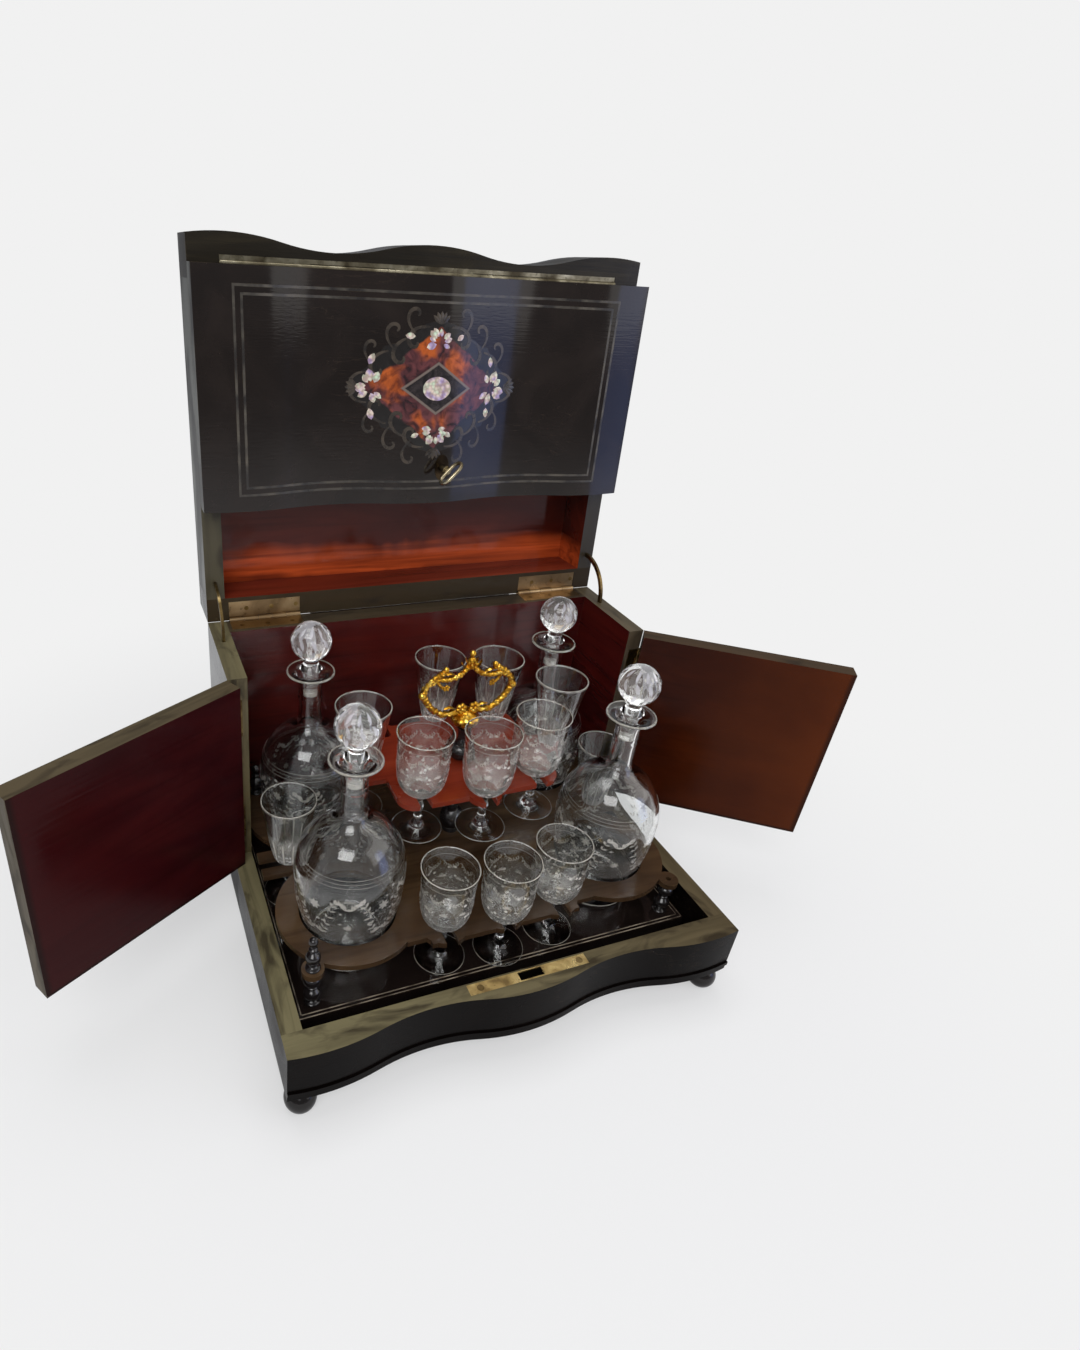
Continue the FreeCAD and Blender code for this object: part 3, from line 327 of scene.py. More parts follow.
def speckled(name, grain, stops, rough, relief=1.0, gloss=0.6):
    """A speckled finish between two colours."""
    p = Paint(name, Specular_IOR_Level=gloss)
    tone = p.noise(*grain)
    return p.look({"colour": p.ramp(tone, stops), "rough": p.span(tone, 0.3, 0.7, *rough),
                   "height": p.times(tone, relief)})


def dress_case():
    top = (0, 0, 1)
    front = (0, -1, 0)
    wear = 0.8 * mm
    rim_y = lambda p: bare_look(p, "y", olive, tan)
    dark = lambda p: wood_look(p, inside_dark, "x")
    outside = lambda p: ebony_look(p, "x", rgb(9, 6, 5), (0.2, 0.34))
    p = Paint("front rail", Specular_IOR_Level=0.04)
    near_rim = p.calc("GREATER_THAN", p.along(top, Vector((0, 0, rim_z - 1 * mm))), 0.0)
    look = p.join(p.times(p.faces(top), near_rim), outside(p), bare_look(p, "x", olive, tan))
    dress("front_rail", p.look(p.join(p.faces((0, 1, 0)), look, dark(p))))
    dress("side_rails", wooden("side rails", outside, [(top, rim_y)], 0.04, 0.5 * mm))
    dress("floor_board", wooden("floor", dark, [], 0.3))
    back = lambda p: wood_look(p, burgundy, "x", 40, (0.1, 0.2), 1.4, 0.1, 0.25, 0.2)
    brown_top = lambda p: bare_look(p, "x", rgb(70, 60, 44), rgb(62, 50, 38))
    dress("back_panel", wooden("back", ebony_look, [(front, back), (top, brown_top)], 0.4, wear))
    for name, side in (("left", 1), ("right", -1)):
        inner = lambda p: wood_look(p, burgundy, "y", 50, (0.14, 0.26), 1.2, 0.1)
        edge = lambda p: bare_look(p, "z", rgb(120, 108, 76), rgb(80, 68, 54))
        dress("side_wall_" + name, wooden("side wall " + name, ebony_look, [
            ((side, 0, 0), inner), (top, rim_y), (front, edge)], 0.3, wear))
    p = Paint("bun feet", Specular_IOR_Level=0.4)
    dress("bun_feet", p.look(ebony_look(p, "z")))
    # Painted shade: a dark strip in the gap along the back's top edge.
    painted_shade_strip()


def painted_shade_strip():
    """Painted shade: a dark strip along the back's top rear edge, under the open lid, put in the gap
    where there is only shade.
    """
    left = low("lid_hinge_case_leaves").x + 62 * mm
    corner = high("back_panel")
    p = Paint("painted shade strip", Specular_IOR_Level=0.1)
    dark = p.look(wood_look(p, inside_dark, "x"))
    start = Vector((left, corner.y - 1.4 * mm, corner.z))
    end = Vector((2 * case_x - left, corner.y, corner.z + 0.27 * mm))
    mesh_piece("painted_shade_strip", *block(start, end), dark, "case", False)


def lining_look(p):
    """Polished red-brown lining, with a wavy flame of orange along its lower part."""
    look = wood_look(p, mahogany, "x", 22, (0.07, 0.16), 1.6, 0.05, 0.2, 0.16)
    start = Vector((case_x, 0, low("lid_rear_rail").z))
    lift = p.noise(11, 3, (1.0, 0.2, 0.2), 0.6, 1.0)
    height = p.calc("ADD", p.along((0, 0, 1), start), p.span(lift, 0.3, 0.7, -8 * mm, 8 * mm))
    flame = p.times(p.span(height, 12 * mm, 20 * mm), p.span(height, 30 * mm, 44 * mm, 1.0, 0.0))
    streak = p.noise(150, 4, (0.05, 0.6, 1.0), 0.2, 0.6)
    flame = p.times(flame, p.span(streak, 0.35, 0.6, 0.3, 1.0))
    look["colour"] = p.mix(flame, look["colour"], rgb(188, 78, 36))
    return look


def painted_sheen_with_marks(p):
    """Painted pale sheen, a painted reflection of bright surroundings at a grazing angle, with dark
    marks, on the lid's left end.
    """
    mark = p.noise(34, 4, (1, 1, 0.5), 0.4)
    return {"colour": p.mix(p.span(mark, 0.42, 0.56), rgb(32, 29, 26), rgb(88, 89, 84)),
            "rough": p.span(mark, 0.3, 0.7, 0.4, 0.3), "height": p.times(mark, 0.3)}


def dress_lid():
    wear = 0.9 * mm
    smoky = lambda p: wood_look(p, (rgb(20, 17, 12), rgb(34, 29, 20), rgb(54, 47, 32)), "x", 110,
                                (0.25, 0.4))
    edge = lambda p: bare_look(p, "z", rgb(72, 66, 48), rgb(44, 38, 29))
    ledge = lambda p: bare_look(p, "x", rgb(58, 46, 30), rgb(46, 36, 24))
    bright = lambda p: wood_look(p, (rgb(70, 24, 16), rgb(108, 40, 26), rgb(140, 60, 38)), "x", 26,
                                 (0.1, 0.2), 1.6, 0.05, 0.2, 0.14)
    # The lid top's left end gets a painted pale sheen (a painted reflection) with dark marks.
    dress("lid_top", wooden("lid top", ebony_look, [(lid_front, lining_look), ((-1, 0, 0), painted_sheen_with_marks)],
                            0.22, wear))
    dress("lid_front_rail", wooden("lid front", smoky, [], 0.2, wear))
    p = Paint("lid sides", Specular_IOR_Level=0.4)
    look = p.join(p.faces(lid_front), ebony_look(p, "z"), edge(p))
    # Left end faces: painted pale sheen (a painted reflection) with dark marks.
    look = p.join(p.faces((-1, 0, 0)), look, painted_sheen_with_marks(p))
    side = p.along((1, 0, 0), Vector((case_x, 0, 0)))
    inner_left = p.times(p.faces((1, 0, 0)), p.calc("LESS_THAN", side, 0.0))
    inner_right = p.times(p.faces((-1, 0, 0)), p.calc("GREATER_THAN", side, 0.0))
    look = p.join(p.calc("ADD", inner_left, inner_right), look, lining_look(p))
    dress("lid_side_rails", p.look(look))
    dress("lid_rear_rail", wooden("lid rear", ebony_look, [(lid_front, ledge), (lid_up, bright)],
                                  0.16, wear))


# Front panel. Its ornament is laid out across, up from the medallion's middle, and out of the face

def bulge(x):
    """How far the serpentine face lies behind its crests, at x from the middle."""
    radius = (wave_half ** 2 + wave_depth ** 2) / (4 * wave_depth)
    near = abs(x) % (2 * wave_half)
    near = min(near, 2 * wave_half - near)
    if near < wave_half / 2:
        return radius - math.sqrt(radius ** 2 - near ** 2)
    return wave_depth - radius + math.sqrt(radius ** 2 - (wave_half - near) ** 2)


def face_point(x, up, out):
    flat = Vector((x, bulge(x) - panel_crest - out, up - medal_drop))
    return panel_pivot + Matrix.Rotation(-lean, 3, "X") @ flat


def petal(x, up, turn, length, width, out=0.12 * mm, dome=0.3 * mm):
    """A small domed leaf on the panel, from its root along turn (radians from x)."""
    outline = [(0, 0), (0.22, 0.36), (0.5, 0.5), (0.8, 0.34), (1, 0), (0.8, -0.34),
               (0.5, -0.5), (0.22, -0.36)]
    verts = []
    for u, v in [(0.5, 0)] + outline:
        dx = u * length * math.cos(turn) - v * width * math.sin(turn)
        dz = u * length * math.sin(turn) + v * width * math.cos(turn)
        verts.append(face_point(x + dx, up + dz, out + (0 if verts else dome)))
    count = len(outline)
    return verts, [(0, 1 + k, 1 + (k + 1) % count) for k in range(count)]


def line_on_face(points, width, out=0.1 * mm):
    verts = []
    for k, (x, up) in enumerate(points):
        a = points[max(k - 1, 0)]
        b = points[min(k + 1, len(points) - 1)]
        step = math.hypot(b[0] - a[0], b[1] - a[1])
        nx, nz = -(b[1] - a[1]) / step, (b[0] - a[0]) / step
        taper = 0.4 + 0.6 * math.sin(math.pi * (k + 0.5) / len(points))
        for side in (-0.5, 0.5):
            reach = side * width * taper
            verts.append(face_point(x + nx * reach, up + nz * reach, out))
    return verts, quads(len(points), 2)


def curl(x, up, turn, size, hand, turns=0.95):
    """A scroll that starts along turn and winds in on itself."""
    points = []
    steps = 22
    heading = turn
    for k in range(steps + 1):
        points.append((x, up))
        step = size * (1 - 0.8 * k / steps) * 0.16
        x += step * math.cos(heading)
        up += step * math.sin(heading)
        heading += hand * turns * math.tau / steps * (0.4 + 1.2 * k / steps)
    return line_on_face(points, size * 0.2)


def lozenge(p, across, rise, half):
    """0 in the middle of a lozenge of that half width and height (in millimetres), 1 on its sides."""
    shares = [p.times(p.calc("ABSOLUTE", way), 1 / (reach * mm))
              for way, reach in zip((across, rise), half)]
    return p.calc("ADD", *shares)


def shell_material():
    """Dark red shell, orange in patches, inside a lobed lozenge; black round it."""
    p = Paint("shell ground", Specular_IOR_Level=0.6)
    centre = face_point(0, 0, 0)
    across = p.along((1, 0, 0), centre)
    rise = p.along(lid_up, centre)
    ripple = p.times(p.noise(60, 3), 0.25)
    inside = p.span(p.calc("ADD", lozenge(p, across, rise, shell_half), ripple), 1.1, 1.14, 1.0, 0.0)
    inner = lozenge(p, across, rise, lozenge_half)
    border = p.times(p.span(inner, 0.94, 0.98), p.span(inner, 1.06, 1.1, 1.0, 0.0))
    bias = p.calc("ADD", p.times(across, -1.8), p.times(rise, 1.0))
    patch = p.calc("ADD", p.noise(44, 2, seed=2.3, bend=0.4), bias)
    vein = p.noise(120, 5, seed=0.7, bend=1.2)
    colour = p.mix(p.span(vein, 0.35, 0.62), rgb(42, 22, 26), rgb(98, 50, 52))
    glow = p.mix(p.span(vein, 0.35, 0.6), rgb(92, 36, 16), rgb(178, 84, 28))
    colour = p.mix(p.span(patch, 0.5, 0.6), colour, glow)
    dark = p.mix(p.span(vein, 0.4, 0.7), rgb(24, 19, 20), rgb(52, 44, 44))
    colour = p.mix(p.calc("LESS_THAN", inner, 1.0), colour, dark)
    colour = p.mix(border, colour, rgb(112, 100, 92))
    colour = p.mix(inside, rgb(24, 20, 18), colour)
    return p.look({"colour": colour, "rough": p.span(vein, 0.3, 0.7, 0.12, 0.25),
                   "height": p.times(vein, 0.2)})


def pearl_material():
    p = Paint("pearl", Specular_IOR_Level=0.7)
    cell = p.add("ShaderNodeTexVoronoi", Vector=p.spot(), Scale=380.0)
    sheen = p.noise(160, 2)
    colour = p.ramp(sheen, [(0.35, rgb(178, 160, 206)), (0.5, rgb(226, 206, 190)),
                            (0.65, rgb(196, 220, 190))])
    line = p.span(cell.outputs["Distance"], 0.25, 0.7, 0.0, 0.6)
    return p.look({"colour": p.mix(line, colour, rgb(120, 90, 84)),
                   "rough": p.span(sheen, 0.3, 0.7, 0.15, 0.3), "height": cell.outputs["Distance"]})


# Places on the panel, in millimetres across and up from the medallion's middle: sprays as (x, up,
# turn, scale), drops as (x, up, turn, length), curls as (x, up, turn, size, hand), palmettes as (x, up,
# turn)

shell_half = (53, 40)
lozenge_half = (24.5, 16.5)
spray_places = [(-47, 0, math.pi, 1.0), (44, 0, 0.0, 1.0), (0, 31, math.pi / 2, 0.85),
                (0, -30, -math.pi / 2, 0.85)]
drop_places = [(-49, 15, 1.1, 8), (-48, -14, -1.3, 8), (43, 14, 1.7, 7), (42, -14, -1.5, 7),
               (-18, 34, 3.1, 7), (13, 32, 0.6, 6), (-12, -31, 3.5, 6), (8, -30, -0.6, 6)]
curl_places = [(8, 40, 0.1, 14, -1), (18, 36, 0.7, 12, 1), (22, 33, -0.3, 14, -1), (33, 26, 0.8, 12, 1),
               (36, 24, -0.2, 14, -1), (47, 16, 0.7, 11, 1), (50, 10, 0.0, 12, -1)]
palmette_places = [(-57, 0, math.pi), (57, 0, 0), (0, 42, math.pi / 2), (0, -41, -math.pi / 2)]


def pearl_sprays():
    """Four sprays of pearl leaves round the lozenge, with single drops between them."""
    leaves = []
    rng = random.Random(5)
    for x, up, way, scale in spray_places:
        for step in range(8):
            turn = way + (step - 3.5) * 0.62
            root = 3.8 * mm * scale
            size = scale * rng.uniform(6.2, 8.8) * mm
            leaves.append(petal(x * mm + root * math.cos(turn), up * mm + root * math.sin(turn),
                                turn + rng.uniform(-0.5, 0.5), size, size * rng.uniform(0.55, 0.75)))
    for x, up, turn, size in drop_places:
        leaves.append(petal(x * mm, up * mm, turn, size * mm, size * mm * 0.62))
    return gathered(leaves)


def scroll_fringe():
    """Thin dark scrolls and palmettes round the shell."""
    lines = []
    for sx in (-1, 1):
        for sz in (-1, 1):
            for x, up, turn, size, hand in curl_places:
                way = turn if sx > 0 else math.pi - turn
                way = way if sz > 0 else -way
                lines.append(curl(sx * x * mm, sz * up * mm, way, size * mm, hand * sx * sz))
    for x, up, way in palmette_places:
        for step in range(5):
            lines.append(petal(x * mm, up * mm, way + (step - 2) * 0.42, 8.5 * mm, 3 * mm, 0.08 * mm,
                               0.2 * mm))
    return gathered(lines)


def dress_panel():
    black = lambda p: ebony_look(p, "x", rgb(26, 20, 17), (0.08, 0.15))
    back = lambda p: wood_look(p, burgundy, "x", 60)
    # The panel's left end gets a painted pale sheen (a painted reflection) with dark marks.
    dress("front_panel", wooden("front panel", black, [((0, 1, 0), back), ((-1, 0, 0), painted_sheen_with_marks)],
                                0.35, 0.6 * mm))
    dress("panel_stringing", speckled("stringing", (90, 3), [(0.38, rgb(34, 30, 27)), (
        0.66, rgb(78, 72, 62))], (0.25, 0.4), 0.1))
    pearl = pearl_material()
    dress("medallion", shell_material())
    dress("medallion_oval", pearl)
    horn = speckled("dark scrolls", (140, 3), [(0.35, rgb(34, 29, 25)), (0.65, rgb(64, 54, 43))],
                    (0.2, 0.35))
    mesh_piece("pearl_sprays", *pearl_sprays(), pearl, "panel", False)
    mesh_piece("scroll_fringe", *scroll_fringe(), horn, "panel", False)


def door_material(name, side, degrees, colours, glow, edge):
    """Polished inner face, warmer towards the free end, ebonised outside, bare edges."""
    turn = Matrix.Rotation(math.radians(degrees), 3, "Z")
    inward = tuple(turn @ Vector((-side, 0, 0)))
    ahead = tuple(turn @ Vector((0, -1, 0)))
    pivot = Vector(joints[name + "_hinge"]["pos_m"])

    def inner(p):
        look = wood_look(p, colours, "y", 30, (0.12, 0.24), 1.0, 0.4, 0.2, 0.3)
        reach = p.along(ahead, pivot)
        cloud = p.noise(14, 3, seed=0.8)
        warm = p.times(p.span(reach, 30 * mm, 155 * mm), p.span(cloud, 0.3, 0.6, 0.5, 1.0))
        look["colour"] = p.mix(warm, look["colour"], glow)
        rise = p.along((0, 0, 1), low("door_right"))
        rim = p.calc("MAXIMUM", p.span(reach, 152 * mm, 155 * mm),
                     p.span(rise, 1.5 * mm, 3 * mm, 1.0, 0.0))
        look["colour"] = p.mix(p.times(rim, 0.7), look["colour"], rgb(22, 13, 10))
        return look

    bare_top = lambda p: bare_look(p, "y", edge, edge)
    bare_side = lambda p: bare_look(p, "z", edge, edge)
    return wooden(name, ebony_look, [(inward, inner), ((0, 0, 1), bare_top), (ahead, bare_side)],
                  0.08, 0.6 * mm, math.radians(degrees))


def dress_doors():
    dress("door_left", door_material("left_door", -1, -left_deg, plum, rgb(52, 11, 12),
                                     rgb(82, 72, 54)))
    dress("door_right", door_material("right_door", 1, right_deg, cherry, rgb(84, 36, 8),
                                      rgb(70, 54, 38)))


def metal(name, dark, mid, light, scale=90, rough=(0.25, 0.42)):
    p = Paint(name, Metallic=1.0)
    tone = p.noise(scale, 4, bend=0.4)
    spot = p.noise(scale * 6, 3)
    colour = p.ramp(tone, [(0.3, dark), (0.5, mid), (0.68, light)])
    colour = p.mix(p.span(spot, 0.62, 0.7, 0.0, 0.5), colour, scaled(dark, 0.5))
    return p.look({"colour": colour, "rough": p.span(tone, 0.3, 0.7, rough[1], rough[0]),
                   "height": p.times(tone, 0.3)})


def screw_heads(rows, radius=1.7 * mm, out=0.35 * mm):
    """Domed heads on a plate: each row is a place, the way it faces and the way across."""
    groups = []
    sides = 14
    for place, normal, across in rows:
        side = normal.cross(across)
        ring = [place + radius * (math.cos(a) * across + math.sin(a) * side) for a in
                [math.tau * k / sides for k in range(sides)]]
        verts = [v + normal * out * 0.4 for v in ring] + [place + normal * out]
        groups.append((verts, [(k, (k + 1) % sides, sides) for k in range(sides)]))
    return gathered(groups)


# Name, grain, dark, middle and light colour of each metal, and the nodes made of it

metal_parts = [
    ("aged brass", 90, (112, 92, 58), (160, 136, 88), (196, 172, 118), ["keeper_plate"]),
    ("hinge brass", 40, (116, 94, 66), (150, 124, 90), (180, 154, 116),
     ["lid_hinge_case_leaves", "lid_hinge_leaves"]),
    ("dark brass", 90, (30, 24, 18), (52, 42, 30), (76, 62, 44), ["escutcheon"]),
    ("dull brass", 90, (70, 56, 34), (118, 98, 62), (158, 138, 94),
     ["door_hinge_case_leaves", "door_left_hinge_leaves", "door_right_hinge_leaves", "lid_stays",
      "lock_case", "lock_bolt"]),
    ("pale brass", 90, (80, 72, 56), (130, 122, 100), (176, 168, 144),
     ["panel_hinge_leaves", "panel_hinge_lid_leaves"]),
    ("key steel", 90, (110, 98, 76), (168, 156, 126), (212, 204, 178), ["key"]),
    ("screw heads", 90, (70, 56, 34), (110, 90, 56), (150, 128, 84), ["keeper_screws"])]


def dress_metal():
    for name, scale, dark, mid, light, parts in metal_parts:
        material = metal(name, rgb(*dark), rgb(*mid), rgb(*light), scale)
        for node in parts:
            dress(node, material)


# Screws of the lid's hinges

hinge_x = 122 * mm
screw_step = 19 * mm
screw_reach = 8.8 * mm
screw_sink = 0.3 * mm
screw_stagger = 5 * mm


def hinge_screws():
    """Screw heads on the leaves of the lid's hinges, staggered so that they clear each other."""
    pivot = Vector(joints["lid_hinge"]["pos_m"])
    top = Vector((0, 0, 1))
    across = Vector((1, 0, 0))
    case_rows = []
    lid_rows = []
    for side in (-1, 1):
        for step in (-screw_step, 0, screw_step):
            x = case_x - pivot.x + side * hinge_x + step
            case_rows.append((pivot + Vector((x, -screw_reach, -screw_sink)), top, across))
            place = pivot + Vector((x + screw_stagger, 0, 0)) + lid_up * screw_reach
            lid_rows.append((place - lid_front * screw_sink, lid_front, across))
    brass = metal("screw brass", rgb(84, 64, 36), rgb(130, 104, 60), rgb(170, 144, 92))
    mesh_piece("case_hinge_screws", *screw_heads(case_rows), brass, "case")
    mesh_piece("lid_hinge_screws", *screw_heads(lid_rows), brass, "lid")


def dress_rack():
    brown = (rgb(34, 25, 16), rgb(62, 45, 30), rgb(94, 72, 48))
    shelf = lambda p: wood_look(p, brown, "x", 34, (0.12, 0.26), 1.4, 0.3, 0.25, 0.2)
    orange = lambda p: wood_look(p, (rgb(82, 24, 12), rgb(128, 44, 24), rgb(162, 68, 38)),
                                 "x", 40, (0.14, 0.28), 1.0, 0.2, 0.2, 0.2)
    dress("main_shelf", wooden("main shelf", shelf, [], 0.5, 0.6 * mm))
    dress("upper_shelf", wooden("upper shelf", orange, [], 0.45, 0.5 * mm))
    black = lambda p: ebony_look(p, "x", rgb(24, 18, 16), (0.05, 0.14))
    dress("tray_board", wooden("tray", black, [], 0.6, 0.7 * mm))
    p = Paint("turned black", Specular_IOR_Level=0.6)
    turned = p.look(ebony_look(p, "z", rgb(22, 19, 19), (0.08, 0.18)))
    for node in ("rack_columns", "rack_finials", "centre_post", "handle_post"):
        dress(node, turned)
    turned_pieces("rack_finials", finial_profile, turned)
    turned_pieces("rack_columns", column_profile, turned)
    # Painted highlight: pale flat lines along the tray's front and sides, standing for the light caught
    # by an edge bead.
    painted_highlight = speckled("tray bead", (70, 4), [(0.38, rgb(70, 60, 50)), (0.62, rgb(150, 138, 120))],
                    (0.3, 0.5), gloss=0.5)
    corner = low("tray_board")
    far = high("tray_board")
    z = far.z + 0.05 * mm
    strips = []
    for inset in (0.6 * mm, 3.2 * mm):
        x0, x1, y0 = corner.x + inset, far.x - inset, corner.y + inset
        strips.append(flat_strip(x0, x1, y0, y0 + 0.8 * mm, z))
        strips.append(flat_strip(x0, x0 + 0.8 * mm, y0, far.y, z))
        strips.append(flat_strip(x1 - 0.8 * mm, x1, y0, far.y, z))
    mesh_piece("tray_painted_highlight", *gathered(strips), painted_highlight, "rack", False)


# Meshes

def quads(rows, wide, closed=False):
    """Faces of a grid of vertices, wide of them to a row; closed joins the ends of each row."""
    faces = []
    for row in range(rows - 1):
        start = row * wide
        for k in range(wide if closed else wide - 1):
            n = (k + 1) % wide
            faces.append((start + k, start + n, start + wide + n, start + wide + k))
    return faces


def smooth_line(points, steps=6):
    """Points of a smooth curve through the given points."""
    out = []
    for k in range(len(points) - 1):
        a, b = points[k], points[k + 1]
        before = points[max(k - 1, 0)]
        after = points[min(k + 2, len(points) - 1)]
        for s in range(steps):
            t = s / steps
            out.append(tuple(
                0.5 * (2 * q + (r - o) * t + (2 * o - 5 * q + 4 * r - e) * t ** 2
                       + (3 * q - o - 3 * r + e) * t ** 3)
                for o, q, r, e in zip(before, a, b, after)))
    out.append(tuple(points[-1]))
    return out


def mesh_piece(name, verts, faces, material, body=None, smooth=True, uvs=None):
    mesh = bpy.data.meshes.new(name)
    mesh.from_pydata([tuple(v) for v in verts], [], faces)
    if uvs:
        layer = mesh.uv_layers.new(name="place")
        for loop in mesh.loops:
            layer.data[loop.index].uv = uvs[loop.vertex_index]
    mesh.update()
    if smooth:
        mesh.shade_smooth()
        mesh.set_sharp_from_angle(angle=0.7)
    mesh.materials.append(material)
    piece = bpy.data.objects.new(name, mesh)
    bpy.context.scene.collection.objects.link(piece)
    if body:
        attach(piece, body)
    return piece


def lathe(profile, segments, form=None):
    """Verts and faces of a closed (radius, height) profile turned about z.
    form(angle, radius, height) may change the radius."""
    verts = []
    faces = []
    rings = []
    for r, h in profile:
        if r < 1e-6:
            rings.append([len(verts)])
            verts.append((0, 0, h))
            continue
        ring = []
        for k in range(segments):
            a = math.tau * k / segments
            reach = form(a, r, h) if form else r
            ring.append(len(verts))
            verts.append((reach * math.cos(a), reach * math.sin(a), h))
        rings.append(ring)
    for lower, upper in zip(rings, rings[1:]):
        for k in range(segments):
            n = (k + 1) % segments
            if len(lower) == 1 and len(upper) == 1:
                continue
            if len(lower) == 1:
                faces.append((lower[0], upper[n], upper[k]))
            elif len(upper) == 1:
                faces.append((lower[k], lower[n], upper[0]))
            else:
                faces.append((lower[k], lower[n], upper[n], upper[k]))
    return verts, faces


def tube(path, radii, segments=10):
    """Verts and faces of a round rod along a list of points, closed at both ends."""
    path = [Vector(p) for p in path]
    verts = []
    side = Vector((0, 1, 0))
    for k, centre in enumerate(path):
        ahead = (path[min(k + 1, len(path) - 1)] - path[max(k - 1, 0)]).normalized()
        side = (side - ahead * side.dot(ahead)).normalized()
        third = ahead.cross(side)
        for s in range(segments):
            a = math.tau * s / segments
            verts.append(centre + radii[k] * (math.cos(a) * side + math.sin(a) * third))
    faces = quads(len(path), segments, True)
    faces.append(tuple(range(segments))[::-1])
    faces.append(tuple((len(path) - 1) * segments + s for s in range(segments)))
    return verts, faces


def ring_tube(r, height, thick, segments=72, around=8):
    """A round-sectioned ring about z."""
    verts = []
    faces = []
    for k in range(segments):
        a = math.tau * k / segments
        for s in range(around):
            b = math.tau * s / around
            reach = r + thick * math.cos(b)
            verts.append((reach * math.cos(a), reach * math.sin(a), height + thick * math.sin(b)))
    for k in range(segments):
        n = (k + 1) % segments
        for s in range(around):
            t = (s + 1) % around
            faces.append((k * around + s, n * around + s, n * around + t, k * around + t))
    return verts, faces


def ball_mesh(centre, r, form=None):
    steps = 10
    profile = [(0, -r)]
    for k in range(1, steps):
        a = -math.pi / 2 + math.pi * k / steps
        profile.append((r * math.cos(a), r * math.sin(a)))
    profile.append((0, r))
    verts, faces = lathe(profile, 16, form)
    return [Vector(v) + Vector(centre) for v in verts], faces


def flat_strip(x0, x1, y0, y1, z):
    return [(x0, y0, z), (x1, y0, z), (x1, y1, z), (x0, y1, z)], [(0, 1, 2, 3)]


def block(a, b):
    """A box between two corners."""
    verts = [(x, y, z) for z in (a.z, b.z) for y in (a.y, b.y) for x in (a.x, b.x)]
    return verts, [(0, 2, 3, 1), (4, 5, 7, 6), (0, 1, 5, 4), (2, 6, 7, 3), (0, 4, 6, 2), (1, 3, 7, 5)]


def gathered(groups):
    """Several (verts, faces) groups as one."""
    verts = []
    faces = []
    for more_verts, more_faces in groups:
        start = len(verts)
        verts += [Vector(v) for v in more_verts]
        faces += [tuple(i + start for i in face) for face in more_faces]
    return verts, faces


# Turned pieces of the rack, as (radius, height) shares of the piece's own height

finial_profile = [(0.0, 0.0), (0.17, 0.0), (0.18, 0.05), (0.12, 0.08), (0.085, 0.12), (0.12, 0.2),
                  (0.175, 0.3), (0.185, 0.38), (0.16, 0.46), (0.09, 0.53), (0.065, 0.57),
                  (0.1, 0.62), (0.105, 0.65), (0.06, 0.69), (0.055, 0.74), (0.09, 0.79),
                  (0.115, 0.87), (0.09, 0.95), (0.045, 0.985), (0.0, 1.0)]
column_profile = [(0.0, 0.0), (0.19, 0.0), (0.19, 0.04), (0.12, 0.08), (0.14, 0.13), (0.2, 0.22),
                  (0.222, 0.3), (0.2, 0.38), (0.13, 0.46), (0.11, 0.49), (0.13, 0.51), (0.13, 0.53),
                  (0.11, 0.55), (0.14, 0.6), (0.2, 0.68), (0.215, 0.75), (0.19, 0.84), (0.12, 0.91),
                  (0.15, 0.94), (0.17, 0.97), (0.17, 1.0), (0.0, 1.0)]


def turned_pieces(node, profile, material):
    """Finer turned shapes at the places of a CAD node's solids, standing for that node."""
    columns_low = low("rack_columns")
    columns_high = high("rack_columns")
    inset = 6 * mm
    xs = (columns_low.x + inset, columns_high.x - inset)
    ys = (columns_low.y + inset, columns_high.y - inset)
    places = [(x, y) for x in xs for y in ys]
    start = low(node).z
    height = high(node).z - start
    if node == "rack_finials":
        places.remove((xs[1], ys[0]))
        start = high("main_shelf").z
        height = high(node).z - start
    line = smooth_line([(r * height, h * height) for r, h in profile], 3)
    line = [(max(0.0, r), min(height, max(0.0, h))) for r, h in line]
    groups = []
    for x, y in places:
        verts, faces = lathe(line, 32)
        groups.append(([Vector(v) + Vector((x, y, start)) for v in verts], faces))
    piece = mesh_piece("turned_" + node, *gathered(groups), material, "rack")
    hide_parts(node)


# Gilt handle, in millimetres across and up from the foot of its cup

def branch(points, thick, rng, steps):
    """A bark-covered arm: a rod whose thickness wanders, with short knots along it."""
    line = [Vector(p) for p in smooth_line(points, steps)]
    radii = [thick * (1 + 0.16 * math.sin(2.1 * k) + rng.uniform(-0.1, 0.1)) for k in range(len(line))]
    radii[0] *= 0.75
    radii[-1] *= 0.7
    groups = [tube(line, radii, 10)]
    for k in range(3, len(line) - 2, 4):
        groups.append(ball_mesh(line[k] + Vector((0, -thick * 0.55, rng.uniform(-0.5, 0.5) * thick)),
                                thick * 0.62))
    return groups


def flower(centre, r, petals):
    groups = [ball_mesh(centre + Vector((0, -r * 0.42, 0)), r * 0.34)]
    for k in range(petals):
        a = math.tau * k / petals + 0.3
        place = centre + Vector((math.cos(a), 0, math.sin(a))) * r * 0.62
        groups.append(ball_mesh(place, r * 0.42))
    return groups


